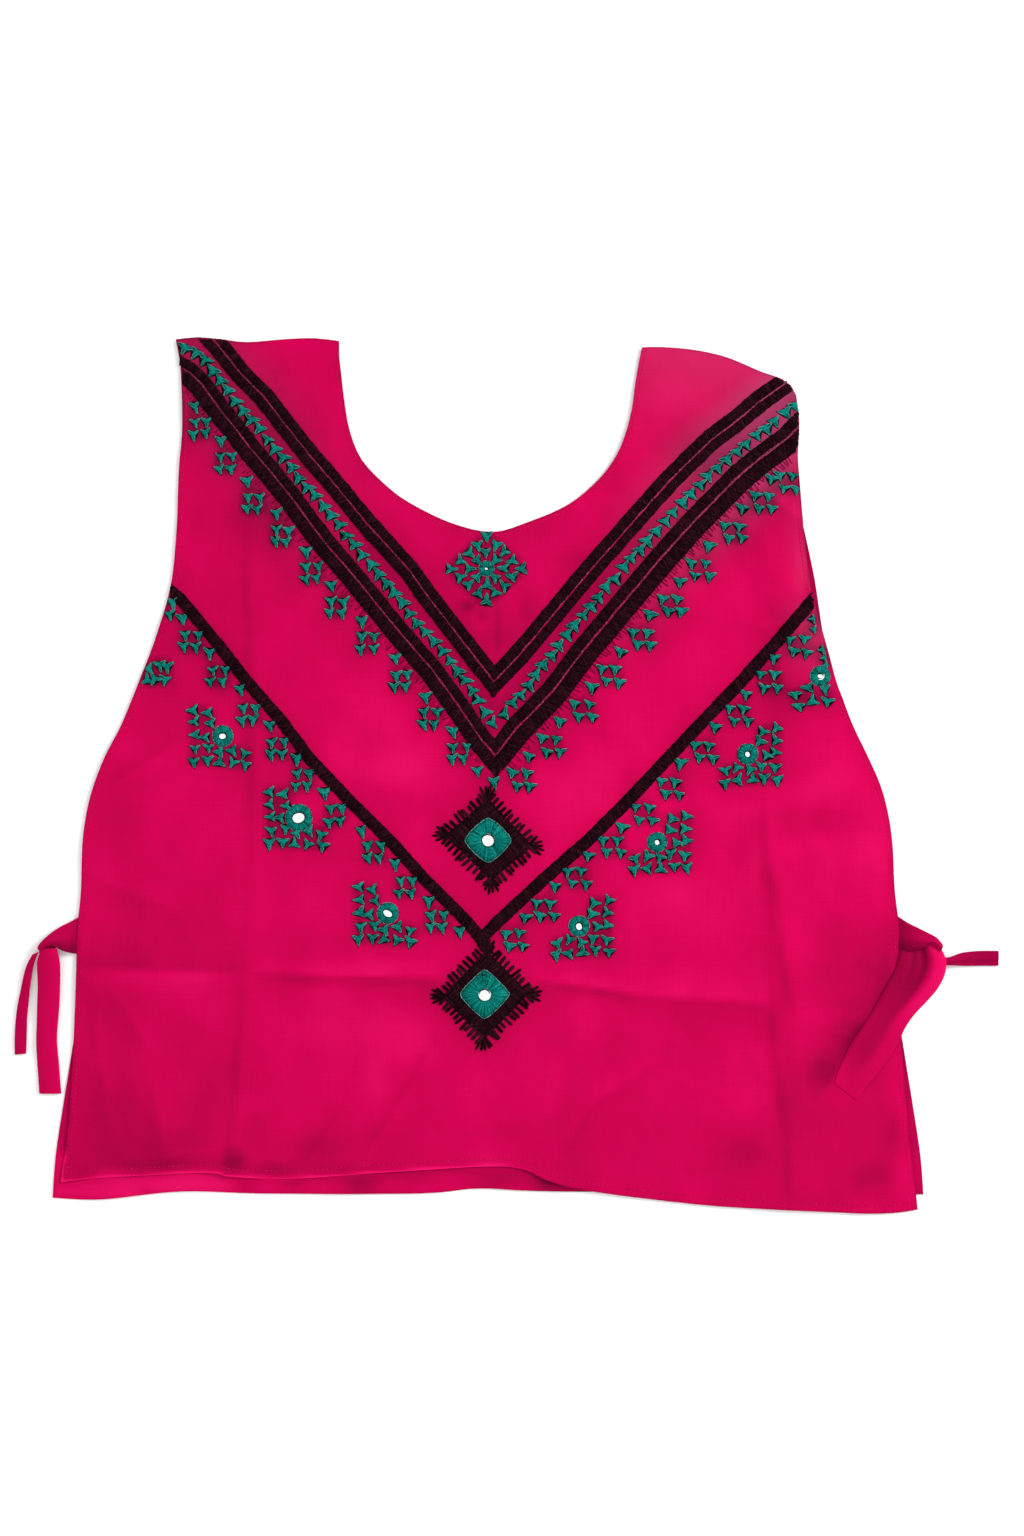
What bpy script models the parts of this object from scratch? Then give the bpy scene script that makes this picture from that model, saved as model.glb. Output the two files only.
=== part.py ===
"""Koti jacket: a sleeveless cotton pullover with stitched V bands, mirror work and side ties, laid flat.

The back panel lies on the surface and the front panel lies on it. +X is to the viewer's right, +Y is
towards the neck, +Z is up, and the origin is on the back panel's underside.
"""
import math

import bmesh
import bpy
from mathutils import Vector

# Driving sizes, in millimetres
MM = 0.001
CLOTH_WALL = 1.2  # wall of each cloth panel
PIECE_GAP = 0.3  # clearance between pieces that touch
CELL = 18.0  # spacing of the rows and columns that carry the folds
GRID_HALF_X = 279.0
GRID_HALF_Y = 270.0
OUTLINE_STEP = 15.0  # spacing of points along a curved edge
CUT_LOW = -20.0  # how far a cutter reaches below and above the cloth
CUT_HIGH = 40.0

NECK_CENTRE_X = 1.5
NECK_TOP_Y = 258.6
NECK_HALF_WIDTH = 90.9
NECK_DEPTH = 112.8
BACK_NECK_EXTRA = 1.5  # the back's neckline is cut this much wider, so it stays hidden

# How far the black stitching reaches inside and outside each band's middle line
INNER_PAIR = (6.4, 6.4)
OUTER_PAIR = (6.8, 8.4)
LOWER_ROW = (3.7, 3.7)
STITCH_WALL = 0.8  # how thick the black stitching stands
PATCH_WALL = 1.0
RING_WALL = 1.3  # the buttonhole ring round each mirror
GLASS_WALL = 0.9
GLASS_SHOWING = 3.9  # radius of the mirror glass inside a ring
SMALL_GLASS = 2.4
ROUND_SIDES = 20

TIE_WALL = 1.1
TAIL_WALL = 1.6
KNOT_SIZE = (12.0, 11.0, 6.0)  # width, depth and height of a knot

# Edges of the front panel, as x, y points from one corner to the next
FRONT_LEFT_SIDE = (
    (-187.5, 261.5), (-184.6, 244.0), (-183.6, 210.0), (-185.8, 180.0), (-187.0, 147.0), (-190.5, 114.0),
    (-199.0, 84.0), (-209.2, 57.0), (-220.2, 30.0), (-230.2, 10.5), (-238.5, -12.0), (-243.0, -36.0),
    (-244.4, -69.0), (-246.6, -96.0), (-248.0, -141.0), (-251.5, -205.0), (-256.5, -244.5),
)
FRONT_HEM = (
    (-256.5, -244.5), (-232.8, -241.8), (-168.0, -238.6), (-157.8, -240.6), (-118.8, -242.4), (-46.8, -237.6),
    (13.2, -235.2), (36.6, -243.6), (60.0, -249.6), (127.2, -258.0), (187.2, -261.6), (235.2, -263.4),
    (258.0, -261.0),
)
FRONT_RIGHT_SIDE = (
    (258.0, -261.0), (255.0, -234.6), (252.3, -208.2), (249.0, -169.8), (247.5, -141.0), (247.0, -96.0),
    (244.2, -69.0), (242.8, -42.0), (240.4, -24.0), (235.6, -6.0), (227.6, 12.0), (219.0, 30.0),
    (210.8, 48.0), (207.2, 57.0), (199.6, 84.0), (193.3, 108.0), (188.2, 141.0), (186.2, 174.0),
    (185.4, 192.0), (186.6, 212.0), (184.6, 228.0),
)
FRONT_RIGHT_SHOULDER = (
    (184.6, 228.0), (181.2, 233.4), (175.2, 237.4), (163.2, 241.4), (145.2, 249.0), (133.2, 252.8),
    (121.2, 255.6), (104.0, 257.0), (92.4, 256.8),
)
FRONT_LEFT_SHOULDER = (
    (-89.4, 260.6), (-104.0, 262.2), (-120.0, 261.8), (-144.0, 259.9), (-160.0, 261.6), (-174.0, 262.8),
    (-187.5, 261.5),
)
# The round neck, from its right corner to its left one
NECK_LINE = (
    (92.4, 256.8), (90.6, 248.0), (88.4, 235.5), (86.4, 220.2), (82.8, 205.8), (76.8, 191.4), (66.0, 177.0),
    (48.6, 162.6), (25.2, 152.2), (3.0, 145.8), (-22.0, 151.2), (-46.8, 163.2), (-61.2, 173.8),
    (-75.6, 189.0), (-82.8, 205.8), (-86.2, 224.0), (-88.2, 241.0), (-89.4, 252.0), (-89.4, 260.6),
)

# Edges of the back panel, which shows below the front's hem and past its right side
BACK_LEFT_SIDE = (
    (-186.3, 260.3), (-183.4, 244.0), (-182.4, 210.0), (-184.6, 180.0), (-185.8, 147.0), (-189.3, 114.0),
    (-197.8, 84.0), (-208.0, 57.0), (-219.0, 30.0), (-229.0, 10.5), (-237.3, -12.0), (-241.8, -36.0),
    (-243.2, -69.0), (-244.6, -96.0), (-246.5, -141.0), (-249.6, -163.2), (-255.0, -196.8),
    (-259.8, -228.6), (-261.6, -254.0),
)
BACK_HEM = (
    (-261.6, -254.0), (-232.8, -255.0), (-184.8, -250.2), (-136.8, -251.4), (-40.8, -251.4), (-4.8, -248.4),
    (43.2, -250.2), (200.0, -251.0), (261.6, -252.0),
)
BACK_RIGHT_SIDE = (
    (261.6, -252.0), (259.8, -228.6), (255.0, -196.8), (249.6, -163.2), (246.5, -141.0), (244.6, -96.0),
    (243.0, -69.0), (241.6, -42.0), (239.2, -24.0), (234.4, -6.0), (226.6, 12.0), (211.4, 45.0),
    (205.4, 66.0), (200.8, 84.0), (196.8, 105.0), (194.6, 120.0), (188.8, 147.0), (185.0, 174.0),
    (184.2, 192.0), (185.4, 212.0), (183.4, 227.0),
)
BACK_RIGHT_SHOULDER = (
    (183.4, 227.0), (180.2, 232.2), (174.4, 236.2), (162.8, 240.2), (144.8, 247.8), (133.0, 251.6),
    (121.0, 254.4), (104.0, 255.8), (93.9, 255.6),
)
BACK_LEFT_SHOULDER = (
    (-90.9, 259.4), (-104.0, 261.0), (-120.0, 260.6), (-144.0, 258.7), (-160.0, 260.4), (-174.0, 261.6),
    (-186.3, 260.3),
)

# Soft folds in the laid front: each is a low ridge from its start to its end
FOLDS = (
    # name, start x, start y, end x, end y, height, half width
    ("storage fold, left half", -233.0, -117.0, 0.0, -123.0, 1.7, 13.0),
    ("storage fold, right half", 0.0, -123.0, 168.0, -138.0, 1.7, 13.0),
    ("left storage crease, top", -142.0, 152.0, -142.0, 2.0, 0.9, 14.0),
    ("left storage crease, foot", -142.0, 2.0, -156.0, -236.0, 1.2, 14.0),
    ("right drape", 164.0, -20.0, 182.0, -142.0, 2.6, 14.0),
    ("right drape, foot", 170.0, -116.0, 184.0, -252.0, 1.6, 15.0),
    ("right armhole pull, upper", 150.0, 176.0, 190.0, 150.0, 2.0, 12.0),
    ("right armhole pull, lower", 168.0, 128.0, 196.0, 70.0, 1.8, 13.0),
    ("neck pucker", 12.0, 148.0, 3.0, 96.0, 1.0, 13.0),
    ("left side swell", -212.0, -20.0, -196.0, -220.0, 1.3, 24.0),
    ("hem swell", 40.0, -240.0, 96.0, -196.0, 1.4, 22.0),
)
LOFT_HEIGHT = 1.3  # air caught between the panels in the middle
LOFT_HALF_X = 190.0
LOFT_HALF_Y = 240.0

# Middle lines of the stitched V bands, from the left shoulder to the point to the right shoulder
UPPER_INNER_LINE = (
    (-172.0, 270.0), (-164.9, 261.2), (-148.7, 241.2), (-134.3, 226.8), (-106.6, 191.4), (-72.2, 150.3),
    (-34.8, 105.3), (-6.2, 68.6), (3.6, 56.0), (18.0, 70.8), (46.6, 105.0), (109.5, 177.0), (134.1, 201.0),
    (164.4, 225.0), (192.0, 245.0),
)
UPPER_OUTER_LINE = (
    (-193.0, 249.5), (-178.4, 241.0), (-162.1, 221.1), (-129.5, 180.9), (-98.0, 139.7), (-52.8, 85.4),
    (-17.8, 41.9), (4.4, 12.4), (28.5, 39.0), (57.2, 74.2), (103.2, 129.0), (148.5, 177.0), (178.8, 201.0),
    (196.0, 217.0),
)
LOWER_LINE = (
    (-194.0, 113.0), (-164.4, 81.0), (-106.5, 9.0), (-59.4, -39.0), (-4.0, -98.2), (32.0, -63.8),
    (83.6, -15.8), (128.9, 32.2), (173.6, 80.2), (200.6, 110.0),
)

# Diamond patches: the black patch, the green square on it and its mirror
DIAMONDS = (
    # name, centre x, centre y, patch half width, patch half height, square half width, half height
    ("upper", -0.3, -39.0, 25.2, 24.3, 14.6, 13.8),
    ("lower", -2.1, -131.6, 25.0, 26.4, 15.0, 15.2),
)

# Mirrors held by a round buttonhole ring on the front
RINGS = (
    # name, centre x, centre y, outer radius, glass radius
    ("left_high", -159.0, 23.4, 6.3, GLASS_SHOWING),
    ("left_middle", -113.4, -25.5, 8.0, GLASS_SHOWING),
    ("left_low", -60.0, -82.8, 6.4, GLASS_SHOWING),
    ("right_low", 54.6, -90.6, 6.2, GLASS_SHOWING),
    ("right_middle", 101.4, -40.2, 5.9, GLASS_SHOWING),
    ("right_high", 155.7, 12.6, 6.2, GLASS_SHOWING),
    ("right_side", 199.0, 59.1, 5.9, GLASS_SHOWING),
    ("medallion", -0.8, 124.2, 4.8, SMALL_GLASS),
)

# Ties: flat strips of the same cloth, as middle-line stations
TIE_RIGHT_ROOT = (
    # x, y, width
    (245.8, -96.0, 19.0), (252.0, -96.3, 17.6), (264.2, -101.6, 10.0),
)
TIE_RIGHT_END = ((274.3, -105.0, 5.0), (286.0, -107.4, 7.6), (297.0, -108.6, 8.6), (307.0, -110.0, 9.0))
TIE_LEFT_ROOT = ((-245.8, -96.0, 19.0), (-251.0, -96.3, 16.0), (-260.3, -101.0, 10.0))
TIE_LEFT_TAIL = (
    (-263.4, -108.4, 6.4), (-262.6, -128.0, 12.6), (-265.0, -160.0, 13.4), (-263.4, -192.0, 13.4),
)
TIE_LEFT_END = ((-270.8, -105.3, 4.4), (-274.0, -109.5, 6.0), (-278.0, -134.0, 6.6), (-280.4, -168.0, 7.4))
KNOTS = (
    # name, centre x, centre y
    ("tie_right_knot", 269.2, -104.4),
    ("tie_left_knot", -265.4, -103.6),
)
# The long tail that falls across the right side, as the x, y points of its two edges
TAIL_RIGHT_EDGE = (
    (273.0, -111.0), (272.4, -120.0), (268.2, -130.8), (259.2, -138.0), (249.6, -151.8), (241.2, -171.0),
    (231.0, -184.0), (219.0, -196.2),
)
TAIL_LEFT_EDGE = (
    (208.2, -184.8), (214.8, -171.0), (224.4, -150.0), (238.8, -129.0), (245.4, -121.8), (254.4, -111.0),
)

# Colours of the finishes, in linear light
CLOTH_PINK = (0.70, 0.003, 0.085)
THREAD_BLACK = (0.024, 0.004, 0.009)
THREAD_GREEN = (0.004, 0.215, 0.160)
GLASS_SILVER = (0.90, 0.92, 0.92)


def clear_scene():
    for thing in list(bpy.data.objects):
        bpy.data.objects.remove(thing, do_unlink=True)


def new_collection(name):
    collection = bpy.data.collections.new(name)
    bpy.context.scene.collection.children.link(collection)
    return collection


def finish(name, colour, roughness, metallic=0.0):
    material = bpy.data.materials.new(name)
    material.use_nodes = True
    shader = material.node_tree.nodes["Principled BSDF"]
    shader.inputs["Base Color"].default_value = (*colour, 1.0)
    shader.inputs["Roughness"].default_value = roughness
    shader.inputs["Metallic"].default_value = metallic
    return material


def smooth_line(points, step=OUTLINE_STEP):
    """A Catmull-Rom curve through the points, read about every step millimetres, last point left out."""
    line = []
    last = len(points) - 1
    for i in range(last):
        before, start = Vector(points[max(i - 1, 0)]), Vector(points[i])
        end, after = Vector(points[i + 1]), Vector(points[min(i + 2, last)])
        pieces = max(1, round((end - start).length / step))
        for k in range(pieces):
            t = k / pieces
            bend = (end - before) * t + (before * 2 - start * 5 + end * 4 - after) * t**2
            bend += (start * 3 - before - end * 3 + after) * t**3
            line.append(tuple(start + bend * 0.5))
    return line


def neckline(extra):
    """The round neck from its right corner to its left one, corners left out."""
    line = []
    for x, y in smooth_line(NECK_LINE)[1:]:
        wider = extra * (x - NECK_CENTRE_X) / NECK_HALF_WIDTH
        deeper = extra * max(0.0, NECK_TOP_Y - y) / NECK_DEPTH
        line.append((x + wider, y - deeper))
    return line


def panel_outline(left_side, hem, right_side, right_shoulder, left_shoulder, neck_extra):
    outline = smooth_line(left_side) + smooth_line(hem) + smooth_line(right_side)
    outline += smooth_line(right_shoulder) + [right_shoulder[-1]]
    outline += neckline(neck_extra)
    outline += smooth_line(left_shoulder)
    return outline


def band_outline(line, inside, outside):
    """A strip along a middle line that reaches inside and outside the V, mitred at its points."""
    points = [Vector(p) for p in line]
    one_side, other_side = [], []
    for i, point in enumerate(points):
        ahead = (points[min(i + 1, len(points) - 1)] - point).normalized()
        behind = (point - points[max(i - 1, 0)]).normalized()
        along = (ahead + behind).normalized()
        square = Vector((-along.y, along.x))
        flat = ahead if behind.length == 0 else behind
        mitre = 1 / max(0.4, abs(square.dot(Vector((-flat.y, flat.x)))))
        one_side.append(tuple(point + square * inside * mitre))
        other_side.append(tuple(point - square * outside * mitre))
    return one_side + other_side[::-1]


def circle(x, y, radius, sides=ROUND_SIDES):
    turns = [math.tau * (k + 0.5) / sides for k in range(sides)]
    return [(x + radius * math.cos(a), y + radius * math.sin(a)) for a in turns]


def diamond(x, y, half_width, half_height):
    return [(x + half_width, y), (x, y + half_height), (x - half_width, y), (x, y - half_height)]


def front_underside(x, y):
    """How high the front panel's inner face lies at a place, with its folds."""
    height = CLOTH_WALL + PIECE_GAP
    inside_x, inside_y = 1 - (x / LOFT_HALF_X) ** 2, 1 - (y / LOFT_HALF_Y) ** 2
    height += LOFT_HEIGHT * max(0.0, inside_x) * max(0.0, inside_y)
    for _, start_x, start_y, end_x, end_y, ridge, half_width in FOLDS:
        run = Vector((end_x - start_x, end_y - start_y))
        offset = Vector((x - start_x, y - start_y))
        along = min(1.0, max(0.0, offset.dot(run) / run.length_squared))
        away = (offset - run * along).length
        height += ridge * math.exp(-((away / half_width) ** 2))
    return height


def place_object(name, mesh, collection, material=None):
    thing = bpy.data.objects.new(name, mesh)
    collection.objects.link(thing)
    if material:
        mesh.materials.append(material)
    return thing


def folded_slab(name, lift, wall, collection, material):
    """A sheet as wide as the front with its folds, lift above the front's underside."""
    bm = bmesh.new()
    columns, rows = round(2 * GRID_HALF_X / CELL), round(2 * GRID_HALF_Y / CELL)
    bmesh.ops.create_grid(bm, x_segments=columns, y_segments=rows, size=1.0)
    for vert in bm.verts:
        x, y = vert.co.x * GRID_HALF_X, vert.co.y * GRID_HALF_Y
        vert.co = Vector((x, y, front_underside(x, y) + lift)) * MM
    bmesh.ops.triangulate(bm, faces=bm.faces, quad_method="FIXED")
    top = bmesh.ops.extrude_face_region(bm, geom=bm.faces[:])["geom"]
    raised = [v for v in top if isinstance(v, bmesh.types.BMVert)]
    bmesh.ops.translate(bm, verts=raised, vec=(0, 0, wall * MM))
    bmesh.ops.recalc_face_normals(bm, faces=bm.faces)
    mesh = bpy.data.meshes.new(name)
    bm.to_mesh(mesh)
    bm.free()
    return place_object(name, mesh, collection, material)


def flat_outline(name, loops, low, high, collection, material=None):
    """An outline, with holes where a loop lies inside another, made solid from low to high."""
    curve = bpy.data.curves.new(name, "CURVE")
    curve.dimensions = "2D"
    curve.fill_mode = "BOTH"
    curve.extrude = (high - low) / 2 * MM
    for loop in loops:
        spline = curve.splines.new("POLY")
        spline.points.add(len(loop) - 1)
        for point, (x, y) in zip(spline.points, loop):
            point.co = (x * MM, y * MM, 0.0, 1.0)
        spline.use_cyclic_u = True
    drawn = place_object(name + "_drawn", curve, collection)
    drawn.location.z = (low + high) / 2 * MM
    bpy.context.view_layer.update()
    mesh = bpy.data.meshes.new_from_object(drawn.evaluated_get(bpy.context.evaluated_depsgraph_get()))
    mesh.name = name
    mesh.transform(drawn.matrix_world)
    bpy.data.objects.remove(drawn, do_unlink=True)
    bpy.data.curves.remove(curve)
    bm = bmesh.new()
    bm.from_mesh(mesh)
    bmesh.ops.remove_doubles(bm, verts=bm.verts, dist=0.00001)
    bmesh.ops.recalc_face_normals(bm, faces=bm.faces)
    bm.to_mesh(mesh)
    bm.free()
    return place_object(name, mesh, collection, material)


def cutter(name, loops):
    shape = flat_outline(name, loops, CUT_LOW, CUT_HIGH, CUTTERS)
    shape.hide_render = True
    shape.display_type = "WIRE"
    return shape


def keep_inside(piece, shape):
    cut = piece.modifiers.new(shape.name, "BOOLEAN")
    cut.operation = "INTERSECT"
    cut.solver = "EXACT"
    cut.object = shape


def laid_on_front(name, loops, wall, material, clip=None):
    """A piece that follows the front panel's outer face, a gap above it, cut to an outline."""
    piece = folded_slab(name, CLOTH_WALL + PIECE_GAP, wall, JACKET, material)
    keep_inside(piece, cutter(name + "_shape", loops))
    if clip:
        keep_inside(piece, clip)
    return piece


def strip(name, stations, low, wall, material):
    """A flat strip of cloth through its stations, each a middle point and a width."""
    middles = [(x, y) for x, y, _ in stations]
    one_side, other_side = [], []
    for i, (x, y, width) in enumerate(stations):
        ahead = Vector(middles[min(i + 1, len(middles) - 1)])
        along = (ahead - Vector(middles[max(i - 1, 0)])).normalized()
        square = Vector((-along.y, along.x)) * width / 2
        one_side.append((x + square.x, y + square.y))
        other_side.append((x - square.x, y - square.y))
    return flat_outline(name, [one_side + other_side[::-1]], low, low + wall, JACKET, material)


def knot(name, x, y, material):
    bm = bmesh.new()
    bmesh.ops.create_uvsphere(bm, u_segments=14, v_segments=8, radius=0.5 * MM)
    bmesh.ops.scale(bm, verts=bm.verts, vec=KNOT_SIZE)
    bmesh.ops.translate(bm, verts=bm.verts, vec=Vector((x, y, KNOT_SIZE[2] / 2)) * MM)
    mesh = bpy.data.meshes.new(name)
    bm.to_mesh(mesh)
    bm.free()
    return place_object(name, mesh, JACKET, material)


clear_scene()
JACKET = new_collection("koti_jacket")
CUTTERS = new_collection("cutters")
COTTON = finish("pink_cotton", CLOTH_PINK, 0.85)
BLACK_THREAD = finish("black_thread", THREAD_BLACK, 0.8)
GREEN_THREAD = finish("green_thread", THREAD_GREEN, 0.55)
MIRROR_GLASS = finish("mirror_glass", GLASS_SILVER, 0.05, 1.0)

# Back panel, flat on the surface
back_loop = panel_outline(
    BACK_LEFT_SIDE, BACK_HEM, BACK_RIGHT_SIDE, BACK_RIGHT_SHOULDER, BACK_LEFT_SHOULDER, BACK_NECK_EXTRA
)
flat_outline("back_panel", [back_loop], 0.0, CLOTH_WALL, JACKET, COTTON)

# Front panel, folded over it
front_loop = panel_outline(
    FRONT_LEFT_SIDE, FRONT_HEM, FRONT_RIGHT_SIDE, FRONT_RIGHT_SHOULDER, FRONT_LEFT_SHOULDER, 0.0
)
front_shape = cutter("front_shape", [front_loop])
front = folded_slab("front_panel", 0.0, CLOTH_WALL, JACKET, COTTON)
keep_inside(front, front_shape)

# Black stitched bands, which run off the shoulders and armholes
for band_name, line, reach in (
    ("upper_band_inner", UPPER_INNER_LINE, INNER_PAIR),
    ("upper_band_outer", UPPER_OUTER_LINE, OUTER_PAIR),
    ("lower_band", LOWER_LINE, LOWER_ROW),
):
    laid_on_front(band_name, [band_outline(line, *reach)], STITCH_WALL, BLACK_THREAD, front_shape)

# Diamond patches, each a black frame round a green square round a mirror
for place, x, y, half_width, half_height, square_x, square_y in DIAMONDS:
    square_hole = diamond(x, y, square_x + PIECE_GAP, square_y + PIECE_GAP)
    laid_on_front(
        "diamond_" + place, [diamond(x, y, half_width, half_height), square_hole], PATCH_WALL, BLACK_THREAD
    )
    glass_hole = circle(x, y, GLASS_SHOWING + PIECE_GAP)
    laid_on_front("square_" + place, [diamond(x, y, square_x, square_y), glass_hole], RING_WALL, GREEN_THREAD)
    laid_on_front("mirror_diamond_" + place, [circle(x, y, GLASS_SHOWING)], GLASS_WALL, MIRROR_GLASS)

# Round mirrors with their rings
for place, x, y, outer, glass in RINGS:
    loops = [circle(x, y, outer), circle(x, y, glass + PIECE_GAP)]
    laid_on_front("ring_" + place, loops, RING_WALL, GREEN_THREAD)
    laid_on_front("mirror_" + place, [circle(x, y, glass)], GLASS_WALL, MIRROR_GLASS)

# Side ties
strip("tie_right_root", TIE_RIGHT_ROOT, 0.0, TIE_WALL, COTTON)
strip("tie_right_end", TIE_RIGHT_END, 0.0, TIE_WALL, COTTON)
strip("tie_left_root", TIE_LEFT_ROOT, 0.0, TIE_WALL, COTTON)
strip("tie_left_tail", TIE_LEFT_TAIL, 0.0, TIE_WALL, COTTON)
strip("tie_left_end", TIE_LEFT_END, 0.0, TIE_WALL, COTTON)
for knot_name, x, y in KNOTS:
    knot(knot_name, x, y, COTTON)
laid_on_front("tie_right_tail", [list(TAIL_RIGHT_EDGE) + list(TAIL_LEFT_EDGE)], TAIL_WALL, COTTON)
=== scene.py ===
import math

import bmesh
import bpy
import numpy as np
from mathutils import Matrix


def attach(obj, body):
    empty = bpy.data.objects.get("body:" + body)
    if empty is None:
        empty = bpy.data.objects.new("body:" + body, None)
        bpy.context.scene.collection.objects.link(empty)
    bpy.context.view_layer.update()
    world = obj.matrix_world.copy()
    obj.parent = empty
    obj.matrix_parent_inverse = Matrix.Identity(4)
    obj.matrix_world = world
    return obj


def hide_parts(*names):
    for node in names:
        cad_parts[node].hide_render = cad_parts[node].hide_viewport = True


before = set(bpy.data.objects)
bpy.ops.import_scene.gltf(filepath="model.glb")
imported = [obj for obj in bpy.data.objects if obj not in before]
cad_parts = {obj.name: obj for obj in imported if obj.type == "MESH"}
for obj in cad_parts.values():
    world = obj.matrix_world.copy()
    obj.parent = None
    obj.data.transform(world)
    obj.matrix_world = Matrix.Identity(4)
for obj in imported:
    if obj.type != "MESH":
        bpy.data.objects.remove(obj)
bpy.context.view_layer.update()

# Camera
# The photo looks straight down on the laid jacket, so the camera hangs over it and faces the surface.
# A photo pixel is 0.6 mm on the cloth, and the jacket's origin is at pixel 488, 775.
MM = 0.001
PHOTO_WIDTH, PHOTO_HEIGHT = 1024, 1536
ORIGIN_PIXEL_X, ORIGIN_PIXEL_Y = 488, 775
PIXEL_MM = 0.6
LENS, SENSOR = 50.0, 36.0
CLOTH_LEVEL = 2.5  # height of the cloth that the scale is measured on

camera_data = bpy.data.cameras.new("photo_camera")
camera_data.lens = LENS
camera_data.sensor_fit = "VERTICAL"
camera_data.sensor_height = SENSOR
camera = bpy.data.objects.new("photo_camera", camera_data)
bpy.context.scene.collection.objects.link(camera)
camera.location = (
    (PHOTO_WIDTH / 2 - ORIGIN_PIXEL_X) * PIXEL_MM * MM,
    (ORIGIN_PIXEL_Y - PHOTO_HEIGHT / 2) * PIXEL_MM * MM,
    (PHOTO_HEIGHT * PIXEL_MM * LENS / SENSOR + CLOTH_LEVEL) * MM,
)
bpy.context.scene.camera = camera

# Studio
# A white card floor, a big soft lamp from the upper right as in the photo, a weak one from the left,
# and an even white room that keeps the shadows open.
def linear(hex_colour):
    """An sRGB hex colour as linear red, green, blue and alpha."""
    parts = [int(hex_colour[i : i + 2], 16) / 255 for i in (1, 3, 5)]
    return (*[p / 12.92 if p <= 0.04045 else ((p + 0.055) / 1.055) ** 2.4 for p in parts], 1.0)


def add_node(tree, kind, settings=None, links=None):
    """Adds a node, sets its properties and inputs, and links its inputs to other nodes' outputs."""
    node = tree.nodes.new("ShaderNode" + kind)
    for name, value in (settings or {}).items():
        if isinstance(name, str) and hasattr(node, name):
            setattr(node, name, value)
        else:
            node.inputs[name].default_value = value
    for name, (source, output) in (links or {}).items():
        tree.links.new(source.outputs[output], node.inputs[name])
    return node


def new_material(name):
    """A node material that holds nothing yet, and the tree to fill."""
    material = bpy.data.materials.new(name)
    material.use_nodes = True
    material.node_tree.nodes.clear()
    return material, material.node_tree


def mesh_from(bm, name):
    """The bmesh's shape as a mesh of that name. The bmesh is freed."""
    mesh = bpy.data.meshes.new(name)
    bm.to_mesh(mesh)
    bm.free()
    return mesh


def new_object(name, mesh, material):
    """An object in the scene, of one mesh and one material."""
    thing = bpy.data.objects.new(name, mesh)
    bpy.context.scene.collection.objects.link(thing)
    mesh.materials.append(material)
    return thing


FLOOR_HALF, FLOOR_DROP = 3.0, 0.0002  # metres: half the card's side, and its gap under the jacket

# White card, matt and faintly uneven in tone
floor_card, tree = new_material("white_card")
noise = add_node(tree, "TexNoise", {"Scale": 9.0, "Detail": 2.0})
tone = add_node(tree, "Mix", {"data_type": "RGBA"}, {0: (noise, "Fac")})
tone.inputs[6].default_value, tone.inputs[7].default_value = linear("#F6F6F6"), linear("#FAFAFA")
card = add_node(tree, "BsdfPrincipled", {"Roughness": 0.9}, {"Base Color": (tone, 2)})
add_node(tree, "OutputMaterial", links={"Surface": (card, "BSDF")})
bm = bmesh.new()
bmesh.ops.create_grid(bm, x_segments=1, y_segments=1, size=FLOOR_HALF)
bmesh.ops.translate(bm, verts=bm.verts, vec=(0, 0, -FLOOR_DROP))
floor = new_object("floor", mesh_from(bm, "floor"), floor_card)

room = bpy.data.worlds.new("white_room")
bpy.context.scene.world = room
room.use_nodes = True
room.node_tree.nodes["Background"].inputs["Color"].default_value = linear("#FFFFFF")
room.node_tree.nodes["Background"].inputs["Strength"].default_value = 1.0
for lamp_name, place, size, power in (
    # where it hangs and its side, in metres, and its power in watts
    ("window_lamp", (1.9, 1.0, 1.45), 0.8, 52.0),
    ("left_fill", (-1.2, -0.3, 1.4), 1.4, 1.5),
):
    lamp_data = bpy.data.lights.new(lamp_name, "AREA")
    lamp_data.size = size
    lamp_data.energy = power
    lamp = bpy.data.objects.new(lamp_name, lamp_data)
    lamp.location = place
    lamp.rotation_mode = "QUATERNION"
    lamp.rotation_quaternion = lamp.location.to_track_quat("Z", "Y")
    bpy.context.scene.collection.objects.link(lamp)
bpy.context.scene.view_settings.view_transform = "Standard"

# Front panel
# The front is one piece of cotton cambric dyed pink, turned under at its edges and laid on the back. It
# keeps the sharp creases of its storage folds, and soft swells where air lies under it.
NECK_CENTRE_X, NECK_TOP_Y, NECK_HALF_WIDTH, NECK_DEPTH = 1.5, 258.6, 90.9, 112.8
FRONT_LEFT_SIDE = (
    (-187.5, 261.5), (-184.6, 244.0), (-183.6, 210.0), (-185.8, 180.0), (-187.0, 147.0), (-190.5, 114.0),
    (-199.0, 84.0), (-209.2, 57.0), (-220.2, 30.0), (-230.2, 10.5), (-238.5, -12.0), (-243.0, -36.0),
    (-244.4, -69.0), (-246.6, -96.0), (-248.0, -141.0), (-251.5, -205.0), (-256.5, -244.5),
)
FRONT_HEM = (
    (-256.5, -244.5), (-232.8, -241.8), (-168.0, -238.6), (-157.8, -240.6), (-118.8, -242.4),
    (-46.8, -237.6), (13.2, -235.2), (36.6, -243.6), (60.0, -249.6), (127.2, -258.0), (187.2, -261.6),
    (235.2, -263.4), (258.0, -261.0),
)
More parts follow.
